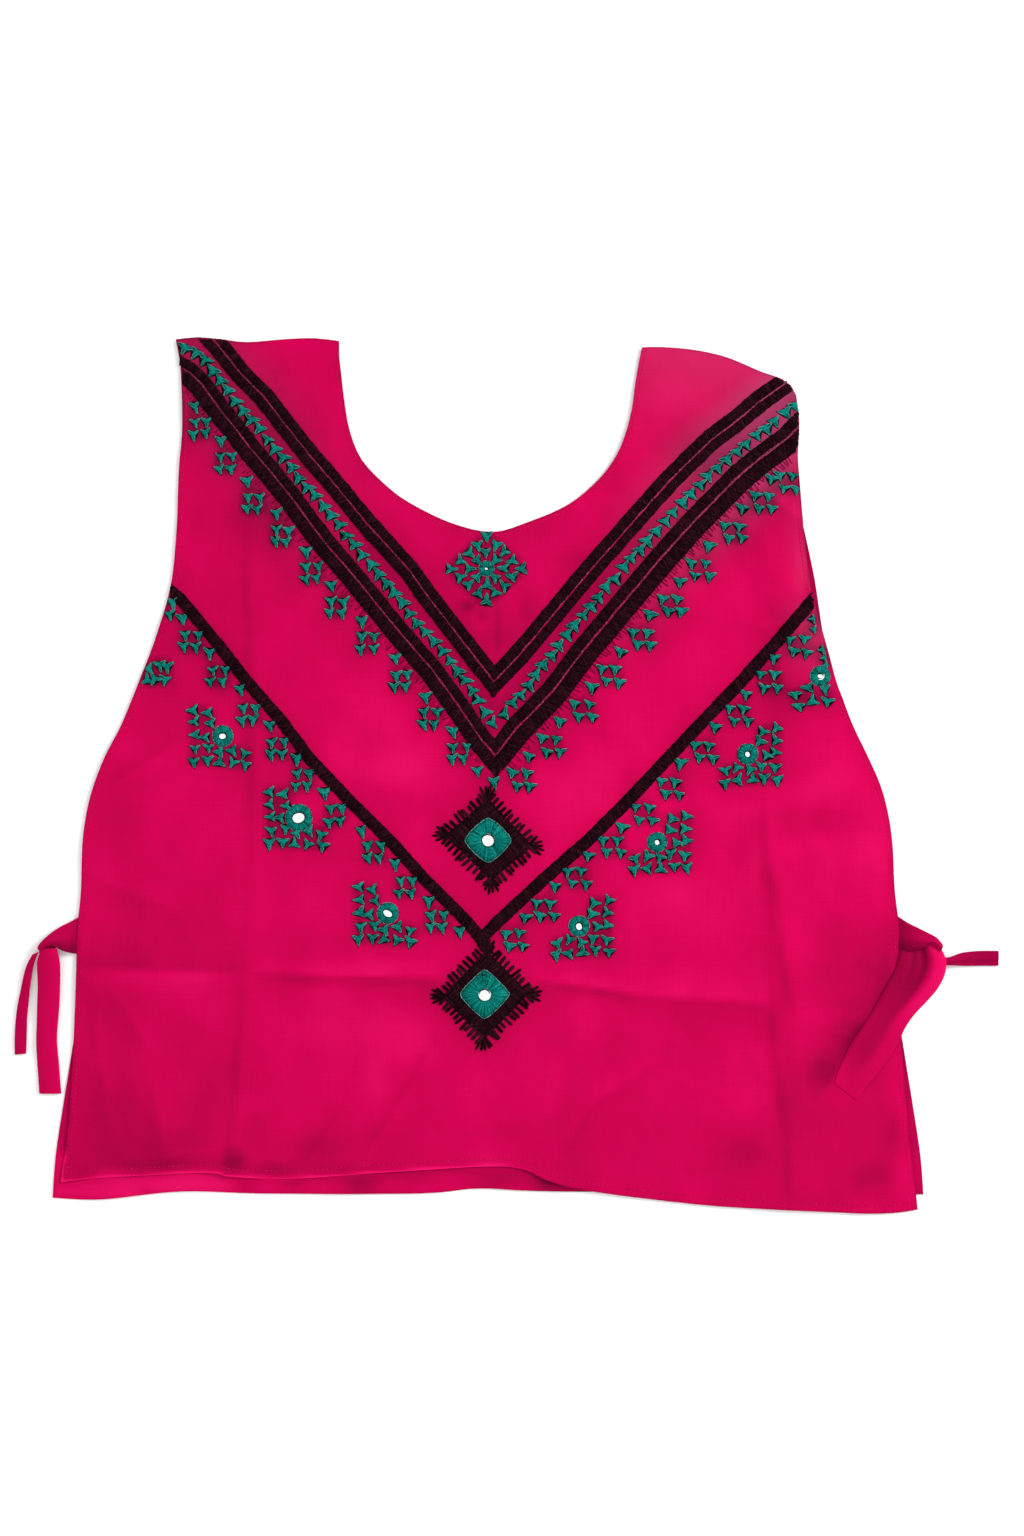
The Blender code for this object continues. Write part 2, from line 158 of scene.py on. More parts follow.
FRONT_RIGHT_SIDE = (
    (258.0, -261.0), (255.0, -234.6), (252.3, -208.2), (249.0, -169.8), (247.5, -141.0), (247.0, -96.0),
    (244.2, -69.0), (242.8, -42.0), (240.4, -24.0), (235.6, -6.0), (227.6, 12.0), (219.0, 30.0),
    (212.2, 48.0), (208.8, 57.0), (201.4, 84.0), (194.8, 108.0), (189.8, 141.0), (187.2, 174.0),
    (186.0, 192.0), (187.0, 212.0), (185.0, 228.0),
)
FRONT_RIGHT_SHOULDER = (
    (185.0, 228.0), (182.0, 233.8), (176.2, 238.0), (164.4, 242.0), (146.2, 249.8), (133.6, 253.4),
    (121.2, 255.6), (104.0, 257.0), (92.4, 256.8),
)
FRONT_LEFT_SHOULDER = (
    (-89.4, 260.6), (-104.0, 262.2), (-120.0, 261.8), (-144.0, 259.9), (-160.0, 261.6), (-174.0, 262.8),
    (-187.5, 261.5),
)
NECK_LINE = (
    # from its right corner to its left one
    (92.4, 256.8), (90.6, 248.0), (88.4, 235.5), (86.4, 220.2), (82.8, 205.8), (76.8, 191.4), (66.0, 177.0),
    (48.6, 162.6), (25.2, 152.2), (3.0, 145.8), (-22.0, 151.2), (-46.8, 163.2), (-61.2, 173.8),
    (-75.6, 189.0), (-82.8, 205.8), (-86.2, 224.0), (-88.2, 241.0), (-89.4, 252.0), (-89.4, 260.6),
)

BACK_THICK, SEAM_GAP, FRONT_THICK = 1.2, 0.3, 1.2  # the solids' walls, which the shells lie in
CLOTH_THICK = 0.55  # hemmed cambric, as modelled
FRONT_PITCH = 2.4  # side of the squares that the sheet is made of
OUTLINE_STEP = 6.0
SHARP_ANGLE = math.radians(50)
EDGE_DROP = 1.2  # how far the front's edges sink towards the back
EDGE_REACH = 14.0
HEM_WIDTH, HEM_STEP = 7.0, 0.8  # the turned edge, and how far its step up runs
HEM_RISE = 0.35

SOFT_FOLDS = (
    # start x, start y, end x, end y, height, half width: the swells that the solid has too
    (-233.0, -117.0, 0.0, -123.0, 1.7, 13.0),
    (0.0, -123.0, 168.0, -138.0, 1.7, 13.0),
    (-142.0, 152.0, -142.0, 2.0, 0.9, 14.0),
    (-142.0, 2.0, -156.0, -236.0, 1.2, 14.0),
    (164.0, -20.0, 182.0, -142.0, 2.6, 14.0),
    (170.0, -116.0, 184.0, -252.0, 1.6, 15.0),
    (150.0, 176.0, 190.0, 150.0, 2.0, 12.0),
    (168.0, 128.0, 196.0, 70.0, 1.8, 13.0),
    (12.0, 148.0, 3.0, 96.0, 1.0, 13.0),
    (-212.0, -20.0, -196.0, -220.0, 1.3, 24.0),
    (40.0, -240.0, 96.0, -196.0, 1.4, 22.0),
)
LOFT = (1.3, 190.0, 240.0)  # height and half sizes of the air under the middle

CREASES = (
    # the line's points, height, width of its left flank, width of its right flank, seen along the line
    (((-262, -116), (-200, -117.5), (-146, -119)), -1.1, 7.0, 2.2),
    (((-141, -118), (-95, -121), (-60, -121.5), (-28, -122)), 1.15, 6.5, 1.8),
    (((30, -126), (85, -131), (121, -133), (172, -139)), 1.0, 7.0, 2.2),
    (((-144.5, 156), (-142, 81), (-141.5, 3), (-144.5, -114)), 0.75, 4.5, 1.7),
    (((-144.5, -114), (-149, -165), (-153, -215), (-155.5, -239)), 0.9, 5.0, 1.8),
    (((166.5, -6), (168, -57), (173.5, -102), (183, -144)), 1.5, 6.0, 1.6),
    (((169, -76), (169, -111), (173, -165), (179, -213), (183, -257)), 0.9, 5.5, 1.9),
    (((5.5, 104), (5, 88), (4.8, 72)), -0.5, 1.6, 1.6),
    (((166, 170), (178, 160), (189, 149)), 1.1, 5.0, 1.7),
    (((187, 196), (190, 160), (190, 130), (196, 104)), 0.8, 4.5, 2.0),
)
DIMPLES = (
    # start x, start y, end x, end y, height, half width
    (-35, -159, -72, -232, -0.8, 8.0),
    (-95, -212, -114, -234, -0.8, 6.0),
    (-230, -170, -204, -226, -1.1, 12.0),
    (-215, -236, -190, -228, 0.9, 6.0),
    (-143, -222, -130, -238, -0.7, 6.0),
    (168, -24, 220, -24, -0.8, 7.0),
    (170, -8, 222, -8, 0.7, 7.0),
    (205, -60, 232, -52, 0.7, 9.0),
    (145, -228, 152, -232, -0.8, 7.0),
    (229, -238, 233, -242, -0.8, 8.0),
    (240, -214, 246, -220, -0.7, 8.0),
    (224, -196, 226, -256, 0.6, 7.0),
    (70, -134, 118, -152, -0.7, 9.0),
    (-120, 60, -104, 10, 0.4, 12.0),
    (60, 40, 96, 4, 0.4, 14.0),
    (-222, 10, -180, -40, 0.5, 16.0),
    (-60, -190, 10, -200, 0.5, 16.0),
)
CREASE_TURN, CREASE_CREST = 1.5, 1.2  # over what width a crease changes flanks and its crest is round
FADE_IN, FADE_OUT = 0.12, 0.06  # of a crease's length
WAVES = ((0.22, 7, 14, 24, 62), (0.1, 8, 16, 11, 22))  # height, seed, how many, shortest and longest
MAP_STEP = 1.5  # the front's height is worked out once, on a map of points this far apart
MAP_HALF_X, MAP_HALF_Y = 312.0, 285.0


def smooth_line(points, step):
    """A Catmull-Rom curve through the points, read about every step millimetres, last point left out."""
    knots = np.array(points, float)
    line = []
    for i in range(len(knots) - 1):
        before, start = knots[max(i - 1, 0)], knots[i]
        end, after = knots[i + 1], knots[min(i + 2, len(knots) - 1)]
        pieces = max(1, round(float(np.linalg.norm(end - start)) / step))
        for k in range(pieces):
            t = k / pieces
            bend = (end - before) * t + (2 * before - 5 * start + 4 * end - after) * t**2
            bend += (3 * start - before - 3 * end + after) * t**3
            line.append(start + bend / 2)
    return line


def neckline(extra, step):
    """The round neck from its right corner to its left one, corners left out."""
    line = []
    for x, y in smooth_line(NECK_LINE, step)[1:]:
        wider = extra * (x - NECK_CENTRE_X) / NECK_HALF_WIDTH
        deeper = extra * max(0.0, NECK_TOP_Y - y) / NECK_DEPTH
        line.append(np.array((x + wider, y - deeper)))
    return line


def panel_outline(left_side, hem, right_side, right_shoulder, left_shoulder, neck_extra, step):
    """A panel's whole outline, from its left shoulder down, round the hem and back over the neck."""
    outline = smooth_line(left_side, step) + smooth_line(hem, step) + smooth_line(right_side, step)
    outline += smooth_line(right_shoulder, step) + [np.array(right_shoulder[-1])]
    outline += neckline(neck_extra, step)
    outline += smooth_line(left_shoulder, step)
    return np.array(outline)


def near_line(x, y, line, closed=False):
    """Distance to a line, the share of its length where the nearest point lies, and the side it is on."""
    ends = np.roll(line, -1, axis=0) if closed else line[1:]
    starts = line if closed else line[:-1]
    best = np.full(np.shape(x), 1e9)
    share, side = np.zeros(np.shape(x)), np.zeros(np.shape(x))
    lengths = np.hypot(*(ends - starts).T)
    total, gone = lengths.sum(), 0.0
    for start, end, length in zip(starts, ends, lengths):
        run = (end - start) / max(length, 1e-9)
        along = np.clip((x - start[0]) * run[0] + (y - start[1]) * run[1], 0, length)
        off_x, off_y = x - start[0] - along * run[0], y - start[1] - along * run[1]
        away = np.hypot(off_x, off_y)
        closer = away < best
        best = np.where(closer, away, best)
        share = np.where(closer, (gone + along) / total, share)
        side = np.where(closer, np.sign(run[0] * off_y - run[1] * off_x), side)
        gone += length
    return best, share, side


def inside_outline(x, y, outline):
    """Which points a closed outline holds, from how often it is crossed on the way out to the right."""
    crossings = np.zeros(np.shape(x), int)
    for (x0, y0), (x1, y1) in zip(outline, np.roll(outline, -1, axis=0)):
        if y0 != y1:
            spans = (y0 > y) != (y1 > y)
            crossings += spans & (x < (x1 - x0) * (y - y0) / (y1 - y0) + x0)
    return crossings % 2 == 1


def soft_ridge(x, y, start_x, start_y, end_x, end_y, half_width):
    """1 along a straight line, fading smoothly to 0 on both sides and past its ends."""
    run_x, run_y = end_x - start_x, end_y - start_y
    along = ((x - start_x) * run_x + (y - start_y) * run_y) / (run_x**2 + run_y**2)
    along = np.clip(along, 0, 1)
    away = np.hypot(x - start_x - along * run_x, y - start_y - along * run_y)
    return np.exp(-((away / half_width) ** 2))


def slow_waves(x, y, seed, count, shortest, longest):
    """Uneven low swells: a sum of sine waves with seeded directions, about -1 to 1."""
    rng = np.random.default_rng(seed)
    total = np.zeros(np.shape(x))
    for _ in range(count):
        wave = rng.uniform(shortest, longest)
        turn = rng.uniform(0, math.pi)
        phase = rng.uniform(0, math.tau)
        total += np.sin(math.tau / wave * (x * math.cos(turn) + y * math.sin(turn)) + phase)
    return total / math.sqrt(count)


front_sides = (FRONT_LEFT_SIDE, FRONT_HEM, FRONT_RIGHT_SIDE, FRONT_RIGHT_SHOULDER, FRONT_LEFT_SHOULDER)
front_outline = panel_outline(*front_sides, 0.0, OUTLINE_STEP)
map_x, map_y = np.meshgrid(
    np.arange(-MAP_HALF_X, MAP_HALF_X + 0.1, MAP_STEP), np.arange(-MAP_HALF_Y, MAP_HALF_Y + 0.1, MAP_STEP)
)
edge_distance, _, _ = near_line(map_x, map_y, front_outline, closed=True)
edge_distance = np.where(inside_outline(map_x, map_y, front_outline), edge_distance, 0.0)
inward = np.clip(edge_distance / EDGE_REACH, 0, 1)
inward = inward * inward * (3 - 2 * inward)
front_map = np.full(map_x.shape, BACK_THICK + SEAM_GAP + FRONT_THICK)
loft_height, loft_half_x, loft_half_y = LOFT
loft_across = np.clip(1 - (map_x / loft_half_x) ** 2, 0, 1)
front_map += loft_height * loft_across * np.clip(1 - (map_y / loft_half_y) ** 2, 0, 1)
for start_x, start_y, end_x, end_y, height, half_width in SOFT_FOLDS + DIMPLES:
    front_map += height * soft_ridge(map_x, map_y, start_x, start_y, end_x, end_y, half_width)
for points, height, left_flank, right_flank in CREASES:
    # a crease has a steep and a gentle flank, is uneven along its line and fades at both ends
    away, share, side = near_line(map_x, map_y, np.array(points, float))
    flank = right_flank + (left_flank - right_flank) * (0.5 + 0.5 * np.tanh(side * away / CREASE_TURN))
    uneven = 0.8 + 0.2 * np.sin(share * 17 + points[0][0])
    fade = np.clip(share / FADE_IN, 0, 1) * np.clip((1 - share) / FADE_OUT, 0, 1)
    front_map += height * uneven * fade * np.exp(-(np.hypot(away, CREASE_CREST) - CREASE_CREST) / flank)
front_map += sum(height * slow_waves(map_x, map_y, *swells) for height, *swells in WAVES)
front_map -= EDGE_DROP * (1 - inward)
front_map += HEM_RISE * np.clip((HEM_WIDTH - edge_distance) / HEM_STEP, 0, 1)


def front_top(x, y):
    """Height of the front panel's outer face in millimetres, read from the map."""
    column = np.clip((x + MAP_HALF_X) / MAP_STEP, 0, map_x.shape[1] - 1.001)
    row = np.clip((y + MAP_HALF_Y) / MAP_STEP, 0, map_x.shape[0] - 1.001)
    i, j = np.floor(column).astype(int), np.floor(row).astype(int)
    s, t = column - i, row - j
    low = front_map[j, i] * (1 - s) + front_map[j, i + 1] * s
    high = front_map[j + 1, i] * (1 - s) + front_map[j + 1, i + 1] * s
    return low * (1 - t) + high * t


def raise_walls(bm, height):
    """Draws a flat sheet up to a height, which gives it walls, and turns all its faces outwards."""
    raised = bmesh.ops.extrude_face_region(bm, geom=bm.faces[:])["geom"]
    raised = [v for v in raised if isinstance(v, bmesh.types.BMVert)]
    bmesh.ops.translate(bm, verts=raised, vec=(0, 0, height))
    bmesh.ops.recalc_face_normals(bm, faces=bm.faces)


def cut_cloth(name, outline, pitch, top_height, material):
    """A sheet of fine squares cut along an outline, as thick as the cloth, its outer face at top_height."""
    low, high = outline.min(0) - 2 * pitch, outline.max(0) + 2 * pitch
    across, up = high - low
    bm = bmesh.new()
    bmesh.ops.create_grid(bm, x_segments=round(across / pitch), y_segments=round(up / pitch), size=0.5)
    bmesh.ops.scale(bm, verts=bm.verts, vec=(across, up, 1))
    bmesh.ops.translate(bm, verts=bm.verts, vec=((high[0] + low[0]) / 2, (high[1] + low[1]) / 2, 0))
    raise_walls(bm, 1)
    whole = new_object(name + "_uncut", mesh_from(bm, name), material)
    # the pattern is a taller block of the outline's shape, and the sheet keeps what lies in it
    bm = bmesh.new()
    rim = [bm.verts.new((x, y, -1)) for x, y in outline]
    bmesh.ops.triangulate(bm, faces=[bm.faces.new(rim)], quad_method="BEAUTY", ngon_method="EAR_CLIP")
    raise_walls(bm, 3)
    pattern = new_object(name + "_pattern", mesh_from(bm, name + "_pattern"), material)
    cut = whole.modifiers.new("cut", "BOOLEAN")
    cut.operation, cut.solver, cut.object = "INTERSECT", "EXACT", pattern
    bpy.context.view_layer.update()
    mesh = bpy.data.meshes.new_from_object(whole.evaluated_get(bpy.context.evaluated_depsgraph_get()))
    bpy.data.objects.remove(whole)
    bpy.data.objects.remove(pattern)
    mesh.name = name
    points = np.empty(len(mesh.vertices) * 3, np.float32)
    mesh.vertices.foreach_get("co", points)
    points = points.reshape(-1, 3).astype(float)
    points[:, 2] = top_height(points[:, 0], points[:, 1]) - CLOTH_THICK * (1 - np.clip(points[:, 2], 0, 1))
    mesh.vertices.foreach_set("co", (points * MM).ravel())
    mesh.shade_smooth()
    mesh.set_sharp_from_angle(angle=SHARP_ANGLE)
    mesh.materials.clear()
    return new_object(name, mesh, material), points


def set_attribute(mesh, name, values):
    """A number for each vertex, that the materials read."""
    attribute = mesh.attributes.new(name, "FLOAT", "POINT")
    attribute.data.foreach_set("value", np.asarray(values, np.float32))


def dress(piece, node=None):
    """Sets a piece on the jacket's one body, and hides the solid that it is shown in place of."""
    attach(piece, "root")
    if node:
        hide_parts(node)


def spot(x, y, middle_x, middle_y, across, up, amount):
    """A soft round place: its amount at the middle, and about a third of it at its half sizes."""
    return amount * np.exp(-(((x - middle_x) / across) ** 2) - ((y - middle_y) / up) ** 2)


# Cotton cambric, plain woven and piece dyed: matt with a faint bloom, thread to thread it varies a little,
# and its tone is painted darker and lighter as painted shade and light, beside the black bands partly as run
# dye.
# The real threads are 0.3 mm apart, too fine to show, so the streaks are drawn about 1 mm wide.
STREAKS, STREAK_LENGTHS = 900, 45  # to a metre: 1.1 mm wide and 22 mm long
cotton, tree = new_material("pink_cotton_cambric")
place = add_node(tree, "TexCoord")
threads = []
for scale in ((STREAKS, STREAK_LENGTHS, STREAK_LENGTHS), (STREAK_LENGTHS, STREAKS, STREAK_LENGTHS)):
    laid = add_node(tree, "Mapping", {"Scale": scale}, {"Vector": (place, "Object")})
    streaky = {"Scale": 1.0, "Detail": 2.0}
    threads.append(add_node(tree, "TexNoise", streaky, {"Vector": (laid, "Vector")}))
warp, weft = threads
weave = add_node(tree, "Math", {"operation": "ADD"}, {0: (warp, "Fac"), 1: (weft, "Fac")})
cloudy = add_node(tree, "TexNoise", {"Scale": 14.0, "Detail": 4.0}, {"Vector": (place, "Object")})
painted = add_node(tree, "Attribute", {"attribute_name": "tone"})
streak_range, cloud_range = {1: 0.7, 2: 1.3, 3: -0.045, 4: 0.045}, {1: 0.3, 2: 0.7, 3: -0.1, 4: 0.1}
streaks = add_node(tree, "MapRange", streak_range, {"Value": (weave, "Value")})
clouds = add_node(tree, "MapRange", cloud_range, {"Value": (cloudy, "Fac")})
mottled = {0: (streaks, "Result"), 1: (clouds, "Result")}
depth = add_node(tree, "Math", {"operation": "ADD"}, mottled)
depth = add_node(tree, "Math", {"operation": "ADD"}, {0: (depth, "Value"), 1: (painted, "Fac")})
depth = add_node(tree, "MapRange", {1: -1.0, 2: 1.0}, {"Value": (depth, "Value")})
dye = add_node(tree, "ValToRGB", links={"Fac": (depth, "Result")})
dye.color_ramp.elements[0].color = linear("#6E002A")
dye.color_ramp.elements[1].position = 0.5
dye.color_ramp.elements[1].color = linear("#B80046")
bright = dye.color_ramp.elements.new(1.0)
bright.color = linear("#DE1262")
grain = add_node(tree, "Bump", {"Strength": 0.35, "Distance": 0.00025}, {"Height": (weave, "Value")})
# painted sheen: where the attribute says, the dye is mixed towards a greyer, bluer pink, as the light's
# bloom on the cloth
sheen_share = add_node(tree, "Attribute", {"attribute_name": "painted_sheen"})
sheened_dye = add_node(tree, "Mix", {"data_type": "RGBA"}, {0: (sheen_share, "Fac"), 6: (dye, "Color")})
sheened_dye.inputs[7].default_value = linear("#8C5A80")
cambric = add_node(
    tree,
    "BsdfPrincipled",
    {"Roughness": 0.85, "Sheen Weight": 0.015, "Sheen Roughness": 0.5, "Specular IOR Level": 0.03},
    {"Base Color": (sheened_dye, 2), "Normal": (grain, "Normal")},
)
cambric.inputs["Sheen Tint"].default_value = linear("#FF7FB0")
add_node(tree, "OutputMaterial", links={"Surface": (cambric, "BSDF")})

# Painted shade and light: soft darker and lighter places where the cloth turns from the light or towards it,
# a few small dye stains near the neck, and painted shading along the old fold lines
PATCHES = (
    # middle x, y, half sizes across and up, how much darker or lighter
    (-222, -205, 42, 44, -0.38), (-175, -60, 30, 80, -0.06), (-165, 225, 42, 45, -0.2),
    (120, -60, 75, 62, 0.1), (126, 240, 38, 20, 0.02), (209, -117, 16, 20, -0.12), (207, -31, 18, 6, -0.2),
    (150, -226, 24, 14, -0.24), (227, -241, 12, 8, -0.35), (245, -217, 6, 12, -0.2),
    (-207, -225, 22, 10, -0.25), (-179, -219, 18, 10, -0.2), (-189, -169, 20, 18, -0.1),
    (-229, -135, 14, 20, -0.16), (-143, -217, 10, 16, -0.15), (-153, -228, 7, 8, -0.4),
    (-101, -223, 20, 10, -0.3), (-61, -217, 12, 12, -0.18), (-42, -181, 9, 14, -0.05),
    (-12, 101, 5, 3, -0.5), (-4, 95, 3, 3, -0.4), (23, 101, 6, 10, -0.25), (51, 129, 12, 8, -0.2),
    (231, -47, 12, 14, 0.2), (55, -9, 46, 20, 0.26), (-55, 4, 30, 13, 0.36), (10, 150, 60, 12, -0.16),
    (215, -205, 44, 40, -0.24), (80, -190, 60, 44, -0.12), (-38, 182, 16, 26, 0.02),
    (-214, -60, 14, 40, -0.12), (60, -108, 60, 12, 0.04), (-112, 215, 42, 40, -0.18), (4, 86, 16, 16, -0.3),
    (-142, 150, 20, 30, -0.24), (-164, 108, 16, 16, -0.16), (108, 69, 10, 10, 0.14), (82, 33, 12, 20, 0.2),
    (176, 94, 16, 14, -0.2), (170, 138, 12, 20, -0.12), (208, 2, 24, 18, 0.22), (163, -42, 8, 20, 0.16),
    (181, -34, 9, 6, -0.2), (203, -62, 9, 20, 0.14), (167, -121, 6, 18, 0.16), (-167, -39, 20, 26, 0.2),
    (-207, -2, 14, 8, -0.14), (-135, -104, 9, 13, -0.12), (-116, -68, 18, 24, 0.14),
    (-212, -125, 22, 8, 0.14), (-207, -178, 8, 26, 0.26), (-50, -154, 20, 18, 0.36),
    (-68, -180, 9, 18, 0.26), (-96, -129, 16, 10, 0.18), (-140, -197, 14, 8, 0.16),
    (-14, -190, 14, 18, 0.14), (40, -187, 7, 16, 0.18), (4, -215, 18, 10, -0.14), (224, -248, 24, 8, -0.14),
    (162, -196, 9, 12, 0.1), (235, -98, 12, 12, -0.2), (117, 195, 20, 18, -0.26), (-131, 98, 18, 26, -0.18),
    (172, 46, 14, 18, -0.28), (-32, -8, 12, 8, 0.14), (-68, 2, 14, 14, 0.12), (-225, -238, 12, 4, 0.65),
    (157, -21, 18, 6, 0.12), (193, -17, 12, 6, 0.08), (159, -66, 8, 18, 0.12), (-41, -239, 10, 4, 0.2),
    (-5, 92, 6, 8, 0.3), (181, 141, 8, 14, -0.2), (-183, 117, 8, 8, -0.2), (54, 98, 10, 10, -0.2),
    (-164, 72, 12, 12, -0.2), (-131, -237, 14, 4, -0.15), (-86, -237, 20, 4, -0.12),
    (-41, -183, 6, 8, -0.14), (126, -237, 14, 8, -0.1), (85, -5, 12, 12, -0.25), (116, -2, 10, 10, -0.25),
    (205, -100, 16, 20, -0.14), (238, -116, 6, 14, -0.3), (250, -220, 6, 26, 0.22), (239, -45, 6, 30, 0.12),
    (-135, -237, 20, 5, -0.2), (-86, -237, 18, 4, -0.12), (-41, -241, 8, 4, 0.2),
    (-122, 251, 18, 10, -0.12), (-72, 181, 10, 14, -0.14), (76, 181, 10, 14, -0.14),
    (126, 244, 20, 8, -0.1), (-185, 128, 6, 12, -0.2), (-173, 151, 10, 14, -0.14),
    (-131, 159, 14, 14, -0.1), (182, 169, 6, 9, -0.35), (202, 42, 10, 8, -0.2), (198, 6, 14, 6, -0.1),
    (96, -13, 10, 8, -0.14), (66, -8, 10, 8, -0.12), (-30, -31, 5, 9, -0.2), (-160, 51, 8, 10, -0.2),
    (168, -196, 6, 36, 0.12), (207, -219, 10, 10, 0.14), (180, -170, 8, 10, -0.14),
    (225, -112, 8, 10, -0.14), (213, -80, 12, 10, 0.1), (218, -194, 16, 6, 0.1), (-152, -233, 8, 6, -0.5),
    (-132, -202, 16, 14, -0.12), (203, -121, 14, 12, -0.2), (200, -176, 9, 9, -0.35),
    (185, -10, 16, 8, 0.14), (-58, -114, 20, 6, 0.14), (-95, -152, 24, 18, 0.14), (20, -184, 20, 20, 0.12),
    (-60, 30, 20, 20, 0.1), (-30, -40, 26, 12, 0.16), (-92, 16, 14, 14, 0.16), (-131, 146, 25, 25, -0.06),
    (31, 70, 20, 30, -0.1), (139, 146, 25, 22, -0.06), (31, -79, 20, 20, -0.08), (-77, -79, 24, 20, 0.1),
    (-23, -124, 18, 14, 0.08), (190, -256, 60, 8, -0.08), (155, 190, 32, 22, -0.16),
    (139, 141, 15, 11, -0.16), (97, 132, 16, 16, -0.1),
)
SHADE_LINES = (
    # points, then the change of tone and how far it reaches, to the left of the line and to its right
    (((-144.6, 158), (-142, 3), (-141.6, -71), (-144.6, -114)), -0.22, 3.5, -0.2, 3.5),
    (((-144.6, -108), (-149, -161), (-155, -232)), -0.14, 3.0, -0.2, 3.5),
    (((-246, -116), (-140, -119)), -0.26, 18.0, 0.2, 12.0),
    (((-144, -118), (-90, -120.5), (-20, -122)), 0.3, 10.0, -0.34, 6.0),
    (((26, -123), (62, -127), (94, -133)), 0.24, 9.0, -0.5, 4.5),
    (((84, -132), (125, -134), (174, -137)), 0.26, 15.0, -0.14, 14.0),
    (((178, -139), (228, -141)), -0.1, 10.0, 0.08, 9.0),
    (((166, -18), (169, -51), (175, -83), (179, -117), (186, -146)), -0.16, 9.0, -0.5, 6.0),
    (((156, -27), (228, -25)), -0.24, 8.0, -0.16, 6.0),
    (((170, -98), (173, -167), (177, -193), (181, -217), (182, -262)), -0.2, 12.0, -0.34, 4.5),
    (((5.4, 110), (5.0, 66)), -0.34, 2.2, -0.1, 2.0),
    (((257, -101), (248, -118), (238, -133), (226, -151), (214, -169), (204, -190)), 0.0, 5.0, -0.4, 4.5),
    (((262, -94), (248, -118), (238, -133), (226, -151), (214, -169), (196, -200)), 0.0, 5.0, -0.5, 16.0),
    (((-118, 190), (-124, 60), (-121, -60)), -0.06, 9.0, -0.06, 9.0),
    (((-66, 250), (-74, 170)), -0.08, 10.0, -0.04, 10.0),
    (((-252, -238), (-200, -233), (-168, -231), (-148, -236)), -0.4, 4.0, -0.55, 5.0),
    (((-156, -236), (-100, -236), (-40, -232), (12, -229), (40, -238)), -0.05, 5.0, -0.06, 5.0),
    (((-233, -118), (-205, -160), (-192, -240)), 0.1, 9.0, -0.14, 9.0),
    (((-238, -134), (-226, -216)), 0.1, 7.0, -0.1, 8.0),
    (((-80, -238), (-48, -190), (-30, -156)), -0.16, 6.0, 0.1, 9.0),
    (((-114, -240), (-86, -200)), -0.12, 6.0, 0.08, 8.0),
    (((34, -240), (64, -196), (108, -168)), 0.1, 10.0, -0.1, 10.0),
    (((187, 200), (186.4, 160), (188, 140), (193, 108)), -0.12, 4.0, 0.16, 7.0),
    (((146, 177), (172, 165), (193, 147)), 0.14, 6.0, -0.18, 5.0),
    (((146, 98), (200, 68)), 0.1, 7.0, -0.14, 7.0),
    (((-182, 22), (-230, -9)), 0.1, 9.0, -0.14, 9.0),
    (((-244, -58), (-176, -86)), 0.1, 10.0, -0.12, 10.0),
)
FRONT_TONE, MOTTLE = -0.035, 0.05  # how dark the whole front is, and how much its slow streaks vary
EDGE_SHADE, HEM_LIGHT = 0.4, 1.4


def front_tone(x, y):
    """How much darker or lighter the dye is painted: painted shade and light from the patches and the fold
    lines, and slow streaks.
    """
    long_streaks, clouds = slow_waves(x, y * 0.3, 21, 10, 14, 50), slow_waves(x, y, 22, 12, 26, 80)
    tone = MOTTLE * long_streaks + MOTTLE * clouds + FRONT_TONE
    for patch in PATCHES:
        tone += spot(x, y, *patch)
    for points, left, left_reach, right, right_reach in SHADE_LINES:
        away, share, side = near_line(x, y, np.array(points, float))
        fade = np.clip(5 * share * (1 - share), 0, 1) * (0.85 + 0.15 * np.sin(share * 23))
        turn = 0.5 + 0.5 * np.tanh(side * away / 1.3)
        amount, reach = right + (left - right) * turn, right_reach + (left_reach - right_reach) * turn
        tone += amount * fade * np.exp(-((away / reach) ** 2))
    # the edge turns from the light all round, but the lifted hem on the left catches it
    edge = np.clip(1 - near_line(x, y, front_outline, closed=True)[0], 0, 1)
    lit = np.clip((-225 - y) / 5, 0, 1) * np.clip((40 - x) / 40, 0, 1)
    return tone + edge * (HEM_LIGHT * lit - EDGE_SHADE)


front_panel, front_points = cut_cloth("front_cloth", front_outline, FRONT_PITCH, front_top, cotton)
dress(front_panel, "front_panel")

# Back panel
# The back is cut like the front and lies flat under it. It shows only where its hem hangs lower on the left
# and where its side edge reaches past the front's on the right.
BACK_LEFT_SIDE = (
    (-186.3, 260.3), (-183.4, 244.0), (-182.4, 210.0), (-184.6, 180.0), (-185.8, 147.0), (-189.3, 114.0),
    (-197.8, 84.0), (-208.0, 57.0), (-219.0, 30.0), (-229.0, 10.5), (-237.3, -12.0), (-241.8, -36.0),
    (-243.2, -69.0), (-244.6, -96.0), (-246.5, -141.0), (-249.6, -163.2), (-255.0, -196.8),
    (-259.8, -228.6), (-261.6, -254.0),
)
BACK_HEM = (
    (-261.6, -254.0), (-232.8, -255.0), (-184.8, -250.2), (-136.8, -251.4), (-40.8, -251.4), (-4.8, -248.4),
    (43.2, -250.2), (200.0, -251.0), (261.6, -252.0),
)
BACK_RIGHT_SIDE = (
    (261.6, -252.0), (259.8, -228.6), (255.0, -196.8), (249.6, -163.2), (246.5, -141.0), (244.6, -96.0),
    (243.0, -69.0), (241.6, -42.0), (239.2, -24.0), (234.4, -6.0), (226.6, 12.0), (211.4, 45.0),
    (205.4, 66.0), (201.4, 84.0), (198.2, 105.0), (196.2, 118.0), (191.4, 141.0), (186.6, 162.0),
    (185.0, 174.0), (184.2, 192.0), (185.4, 212.0), (183.4, 227.0),
)
